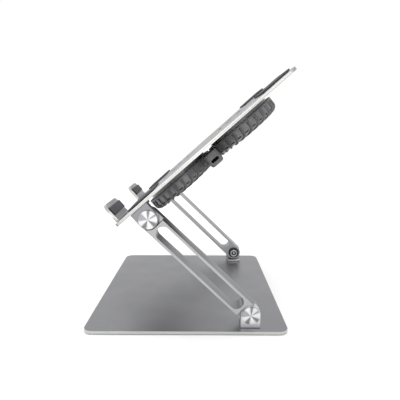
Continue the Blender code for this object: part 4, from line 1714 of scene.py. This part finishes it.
    def build_pads(self) -> None:
        """Rubber pads on the tray and inside its hooks, with soft rims."""
        top, margin, face = self.top_height(), self.hook_pad_margin, self.front + AIR
        seat = top + AIR
        plans = {
            f"tray_pad_{row.value}": (
                (self.pad_inner, start, seat),
                (self.pad_outer, start + self.pad_depth, seat + self.pad_thickness),
                Z,
                self.pad_corner,
            )
            for row, start in self.pad_fronts.items()
        }
        tip = top + self.hook_rise - self.hook_pad_tip
        plans["hook_pad"] = (
            (self.hook_inner + margin, face, top + self.hook_pad_low),
            (self.hook_outer - margin, face + self.hook_pad_thickness, tip),
            Y,
            self.hook_pad_corner,
        )
        for name, (low, high, axis, corner) in plans.items():
            pad = Workbench.block(name, low, high)
            Workbench.round_edges(pad, along(axis), corner, 8)
            self.dress(pad, self.finishes.rubber)
            Workbench.chamfer(pad, self.pad_edge, 3)
            Workbench.smooth(pad)
            self.hand_over_pair(pad, name, self.places.at_tray, "tray", "rubber")


# ------------------------------------------------------------------ fans


@dataclass
class FanCage(Assembly):
    """The round ribbed cage under the tray, one for each fan."""

    radius: float = 48 * MM
    depth: float = 16 * MM
    wall: float = 1.6 * MM
    rim: float = 7 * MM
    ribs: int = 28
    rib_width: float = 2.3 * MM
    rib_edge: float = 0.45 * MM
    rib_root: float = 0.5 * MM
    sweep: float = radians(60)
    flange_inner: float = 43.2 * MM
    flange_depth: float = 2.6 * MM
    hoop_outer: float = 26.5 * MM
    hoop_inner: float = 24 * MM
    hub_radius: float = 14.5 * MM
    hub_overlap: float = 1 * MM
    hub_rim: float = 2.2 * MM
    hub_dish: float = 0.5 * MM
    plate_recess: float = 0.1 * MM
    ring_edge: float = 0.3 * MM
    steps_in: int = 10
    liner_inset: float = 1.7 * MM
    liner_wall: float = 0.8 * MM
    liner_end: float = radians(80)
    liner_steps: int = 5
    sides_per_gap: int = 4
    # Band and border of the black patches painted in the wall as the shade of slot openings.
    shade_patch_low: float = 10.7 * MM
    shade_patch_high: float = 11.6 * MM
    shade_patch_border: float = 0.12 * MM
    shade_patch_shrink: float = 0.985

    def rib(self) -> Piece:
        """One rib: down the wall, round the rim, and in to the hub with a lean.

        Returns:
            The rib, which starts on +X.
        """
        half, wall = self.rib_width / 2, self.wall
        corner = -(self.depth - self.rim)
        top = -AIR - self.rib_root
        rib = Workbench.block("rib", (self.radius - wall, -half, corner), (self.radius, half, top))
        bend = (self.radius - self.rim, 0, corner)
        with Workbench.editing(rib, facing(Z, -1)):
            bpy.ops.mesh.spin(steps=8, angle=-pi / 2, center=bend, axis=(0, 1, 0))
            run = (self.radius - self.rim - self.hub_radius + self.hub_overlap) / self.steps_in
            for _ in range(self.steps_in):
                Workbench.pull(-run, 0, 0)
        Workbench.face_out(rib)
        Workbench.chamfer(rib, self.rib_edge, 2, over=60)

        def lean(point: Vector) -> Vector:
            """Turns a point round the fan's axis, the more the further in it lies."""
            turn = -self.sweep * (self.radius - point.x) / self.radius
            return Matrix.Rotation(turn, 3, "Z") @ point

        Workbench.warp(rib, lean)
        return rib

    def liner(self) -> Piece:
        """The closed wall behind the ribs, drawn down and in round the rim, with a black patch in each gap as
        painted shade of a slot opening.

        Returns:
            The wall about +Z.
        """
        radius = self.radius - self.liner_inset
        Workbench.only(None)
        sides, top = self.sides_per_gap * self.ribs, (0, 0, -self.flange_depth)
        bpy.ops.mesh.primitive_circle_add(vertices=sides, radius=radius, location=top)
        liner = Workbench.settle(bpy.context.object)
        self.dress(liner, self.finishes.fan_grey, self.finishes.black_plastic)
        bend = self.rim - self.liner_inset
        middle, corner = radius - bend, self.depth - self.rim
        stations = [(radius, corner)]
        for step in range(1, self.liner_steps + 1):
            turn = self.liner_end * step / self.liner_steps
            stations.append((middle + bend * cos(turn), corner + bend * sin(turn)))
        with Workbench.editing(liner, what="EDGE"):
            last, depth = radius, self.flange_depth
            for reach, down in stations:
                bpy.ops.mesh.extrude_edges_move(TRANSFORM_OT_translate={"value": (0, 0, depth - down)})
                bpy.ops.transform.resize(value=(reach / last, reach / last, 1))
                last, depth = reach, down
        solid = liner.modifiers.new("wall", "SOLIDIFY")
        solid.thickness, solid.offset = self.liner_wall, -1.0
        Workbench.face_out(liner)
        Workbench.apply(liner, solid)
        gap = 2 * pi / self.ribs

        def in_painted_slot_shade(at: Vector, normal: Vector) -> bool:
            """Picks the outer faces, in a band between the ribs, that are painted black as painted shade of
            slot openings.

            Args:
                at: The face's middle.
                normal: Its normal.

            Returns:
                Whether the face is one of them.
            """
            aside = abs((atan2(at.y, at.x) + gap * 3 / 4) % gap - gap / 2)
            outward = normal.x * at.x + normal.y * at.y > 0
            return self.shade_patch_low < -at.z < self.shade_patch_high and aside < gap / 4 and outward

        with Workbench.editing(liner, in_painted_slot_shade):
            # Black plastic as painted shade where a slot would open; the patch is only inset, no hole is cut.
            Workbench.paint(SECOND)
            bpy.ops.mesh.inset(thickness=self.shade_patch_border)
            bpy.ops.transform.resize(value=(self.shade_patch_shrink, self.shade_patch_shrink, 1), center_override=(0, 0, 0))
        Workbench.smooth(liner)
        return liner

    def cage(self) -> Piece:
        """The ribs, with the flange, the hoop and the hub that hold them, and the wall behind them.

        Returns:
            The cage about +Z, its flange just under the origin.
        """
        ribs = Workbench.ring(self.rib(), self.ribs, 0.5)
        outer, inner = -self.depth + self.plate_recess, -self.depth + self.wall
        foot = -self.flange_depth - AIR
        flange = Workbench.collar("flange", self.radius, self.flange_inner, foot, -AIR, 112)
        hoop = Workbench.collar("hoop", self.hoop_outer, self.hoop_inner, outer, inner, 72)
        hub = Workbench.disc("hub", self.hub_radius, outer, inner, 64)
        with Workbench.editing(hub, facing(Z, -1)):
            bpy.ops.mesh.inset(thickness=self.hub_rim)
            Workbench.pull(0, 0, self.hub_dish)
        for ring in (flange, hoop, hub):
            Workbench.chamfer(ring, self.ring_edge, 2, over=60)
        for piece in (flange, hoop, hub, *ribs):
            self.dress(piece, self.finishes.grey_plastic)
        cage = Workbench.joined("cage", [flange, hoop, hub, *ribs, self.liner()])
        Workbench.smooth(cage)
        return cage

    def build(self) -> None:
        """Models one cage and copies it under both fans."""
        cage = self.cage()
        for row in Row:
            made = Workbench.copy(cage, f"fan_guard_{row.value}_piece", self.places.at_fan(row))
            self.hand_over(made, "tray", "grey_plastic", f"fan_guard_{row.value}")
        bpy.data.objects.remove(cage)
        for row in Row:
            self.dress_node(f"fan_frame_{row.value}", self.finishes.fan_grey)
            self.dress_node(f"fan_lead_{row.value}", self.finishes.lead_jacket)


@dataclass
class Rotors(Assembly):
    """The two fan rotors: a hub cup with swept blades."""

    radius: float = 39.2 * MM
    hub_radius: float = 13 * MM
    top: float = -2 * MM
    bottom: float = -11.6 * MM
    blades: int = 7
    blade_sweep: float = radians(26)
    blade_thickness: float = 1.0 * MM
    blade_edge: float = 0.2 * MM
    blade_height: float = 0.92
    root_pitch: float = radians(38)
    pitch_loss: float = radians(14)
    root_chord: float = 9.5 * MM
    chord_gain: float = 7 * MM
    camber: float = 0.9 * MM
    hub_rim: float = 4.5 * MM
    hub_dish: float = 0.4 * MM
    hub_edge: float = 0.7 * MM

    def blade(self) -> Piece:
        """One twisted blade along +X, thicker at its root.

        Returns:
            The blade, its root inside the hub.
        """
        root, tip = self.hub_radius - MM, self.radius
        middle = (self.top + self.bottom) / 2
        Workbench.only(None)
        bpy.ops.mesh.primitive_grid_add(x_subdivisions=12, y_subdivisions=6, size=1)
        blade = Workbench.settle(bpy.context.object)
        blade.name = "blade"

        def shape(point: Vector) -> Vector:
            """Lays a point of the flat grid on the swept, twisted and cambered blade.

            Args:
                point: A point of the grid, from -0.5 to 0.5 both ways.

            Returns:
                The place of that point on the blade.
            """
            outwards, across = point.x + 0.5, point.y
            reach = root + (tip - root) * outwards
            pitch = self.root_pitch - self.pitch_loss * outwards
            rise = self.camber * (1 - 4 * across * across)
            run = across * (self.root_chord + self.chord_gain * outwards)
            side = run * cos(pitch) - rise * sin(pitch)
            up = run * sin(pitch) + rise * cos(pitch)
            turn = self.blade_sweep * outwards + side / max(reach, self.hub_radius)
            return Vector((reach * cos(turn), reach * sin(turn), middle + up * self.blade_height))

        Workbench.warp(blade, shape)
        solid = blade.modifiers.new("thickness", "SOLIDIFY")
        solid.thickness, solid.offset = self.blade_thickness, 0.0
        Workbench.apply(blade, solid)
        Workbench.face_out(blade)
        Workbench.chamfer(blade, self.blade_edge, 2, over=60)
        return blade

    def build(self) -> None:
        """Models one rotor and copies it into both fans."""
        hub = Workbench.disc("hub", self.hub_radius, self.bottom, self.top, 64)
        with Workbench.editing(hub, facing(Z, 1)):
            bpy.ops.mesh.inset(thickness=self.hub_rim)
            Workbench.pull(0, 0, -self.hub_dish)
        Workbench.chamfer(hub, self.hub_edge, 3, over=60)
        rotor = Workbench.joined("rotor", [hub, *Workbench.ring(self.blade(), self.blades)])
        self.dress(rotor, self.finishes.black_plastic)
        Workbench.smooth(rotor)
        for row in Row:
            made = Workbench.copy(rotor, f"fan_rotor_{row.value}_piece", self.places.at_fan(row))
            self.hand_over(made, f"{row.value}_rotor", "black_plastic", f"fan_rotor_{row.value}")
        bpy.data.objects.remove(rotor)


@dataclass
class ControlBox(Assembly):
    """The small box between the fans, with the socket in its outer end."""

    inner_x: float = 29 * MM
    outer_x: float = 78 * MM
    half_width: float = 7.8 * MM
    depth: float = 15 * MM
    wall: float = 1.8 * MM
    corner: float = 3 * MM
    soft_edge: float = 3 * MM
    socket_depth: float = 9 * MM
    socket_half: float = 4.8 * MM
    socket_height: float = 1.7 * MM
    mouth_depth: float = 4 * MM
    lead_x: float = 33.1 * MM
    lead_depth: float = 6 * MM
    lead_clear: float = 1.4 * MM
    edge: float = 0.2 * MM

    def shell(self) -> Piece:
        """The moulded box, hollow and open at its top.

        Returns:
            The box about the middle between the fans, its top just under the origin.
        """
        low = (self.inner_x, -self.half_width, -self.depth)
        high = (self.outer_x, self.half_width, -AIR)
        box = Workbench.block("control_box_piece", low, high)
        Workbench.round_edges(box, along(Z), self.corner, 8)
        floor = -self.depth + NEAR
        Workbench.round_edges(box, lambda a, b: max(a.z, b.z) < floor, self.soft_edge, 5)
        wall = Vector((self.wall, self.wall, self.wall))
        inside = (self.outer_x - self.wall, self.half_width - self.wall, OVERRUN)
        cavity = Workbench.block("cavity", Vector(low) + wall, inside)
        Workbench.round_edges(cavity, along(Z), self.corner - self.wall, 5)
        Workbench.carve(box, cavity)
        mouth = Workbench.block(
            "mouth",
            (self.outer_x - self.mouth_depth, -self.socket_half, -self.socket_depth - self.socket_height),
            (self.outer_x + OVERRUN, self.socket_half, -self.socket_depth + self.socket_height),
        )
        Workbench.round_edges(mouth, along(X), self.socket_height * FULL_ROUND, 8)
        Workbench.carve(box, mouth)
        for way in (-1, 1):
            y = way * (self.half_width - self.wall / 2)
            notch = Workbench.disc("notch", self.lead_clear, -self.wall - NEAR * 2, self.wall + NEAR * 2, 24)
            place = Matrix.Translation((self.lead_x, y, -self.lead_depth)) @ Matrix.Rotation(pi / 2, 4, "X")
            Workbench.carve(box, Workbench.moved(notch, place))
        Workbench.chamfer(box, self.edge, 2, over=50)
        self.dress(box, self.finishes.grey_plastic)
        Workbench.smooth(box)
        return box

    def build(self) -> None:
        """Models the box and finishes what it holds."""
        middle = sum(self.places.fans.values(), Vector()) / len(self.places.fans)
        place = Matrix.Translation(middle) @ Matrix.Rotation(self.places.tilt, 4, "X")
        box = Workbench.moved(self.shell(), place)
        self.hand_over(box, "tray", "grey_plastic", "control_box")
        self.dress_node("circuit_board", self.finishes.solder_mask)
        self.dress_node("usb_receptacle", self.finishes.steel)


# ------------------------------------------------------------------ studio


@dataclass
class Studio:
    """Camera, pale floor and soft light. Each soft box has its place, its aim, its size and its power."""

    boxes: ClassVar[dict[str, tuple]] = {
        "right_box": ((1.6, 0.2, 0.7), (0, 0, 0.1), 1.2, 6.0),
        "top_box": ((0.1, 0.0, 1.8), (0, 0, 0), 1.6, 10.0),
    }
    eye: Vector = field(default_factory=lambda: Vector((0.4679, 0.0151, 0.2010)))
    pitch: float = radians(10.11)
    yaw: float = radians(-0.13)
    roll: float = radians(-0.18)
    lens: float = 33.65
    floor_size: float = 30.0
    floor_colour: Colour = (0.99, 0.99, 0.99)
    sky: float = 1.03

    def build(self) -> None:
        """Sets up everything round the stand."""
        self.build_camera()
        self.build_floor()
        self.build_lights()

    def build_camera(self) -> None:
        """A camera on the stand's right, a little above the tray's middle."""
        level = cos(self.pitch)
        ahead = Vector((-level * cos(self.yaw), level * sin(self.yaw), -sin(self.pitch)))
        right = Vector((sin(self.yaw), cos(self.yaw), 0))
        up = right.cross(ahead)
        lean = Matrix.Rotation(self.roll, 3, ahead)
        right, up = lean @ right, lean @ up
        turn = Matrix((right, up, -ahead)).transposed()
        Workbench.only(None)
        bpy.ops.object.camera_add(location=self.eye, rotation=turn.to_euler())
        camera = bpy.context.object
        camera.data.lens, camera.data.sensor_width = self.lens, 36.0
        camera.data.clip_start, camera.data.clip_end = 0.01, 100.0
        bpy.context.scene.camera = camera

    def build_floor(self) -> None:
        """A plain pale floor level with the feet."""
        Workbench.only(None)
        bpy.ops.mesh.primitive_plane_add(size=self.floor_size, location=(0, 0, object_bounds()[0].z))
        floor = bpy.context.object
        floor.name = "floor"
        material = bpy.data.materials.new("pale_floor")
        material.use_nodes = True
        shader = material.node_tree.nodes["Principled BSDF"]
        shader.inputs["Base Color"].default_value = (*self.floor_colour, 1)
        shader.inputs["Roughness"].default_value = 0.9
        floor.data.materials.append(material)
        floor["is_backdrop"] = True

    def build_lights(self) -> None:
        """A white room, with one soft box above and one at the right."""
        world = bpy.data.worlds.new("white_room")
        bpy.context.scene.world = world
        world.use_nodes = True
        background = world.node_tree.nodes["Background"]
        background.inputs["Color"].default_value = (1, 1, 1, 1)
        background.inputs["Strength"].default_value = self.sky
        for name, (place, aim, size, power) in self.boxes.items():
            Workbench.only(None)
            turn = (Vector(aim) - Vector(place)).to_track_quat("-Z", "Y").to_euler()
            bpy.ops.object.light_add(type="AREA", location=place, rotation=turn)
            light = bpy.context.object
            light.name = light.data.name = name
            light.data.size, light.data.energy = size, power
        bpy.context.scene.view_settings.view_transform = "Standard"


# ------------------------------------------------------------------ main


def main() -> None:
    """Builds the stand, one sub-assembly after another."""
    logging.basicConfig(level=logging.INFO, format="%(name)s: %(message)s")
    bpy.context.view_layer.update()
    places, finishes = Places.from_record(), Finishes()
    for kind in (Base, Brackets, Arms, Pivots, Tray, Fixings, FanCage, Rotors, ControlBox):
        LOG.info("building %s", kind.__name__)
        kind(places, finishes).build()
    Studio().build()


if __name__ == "__main__":
    main()
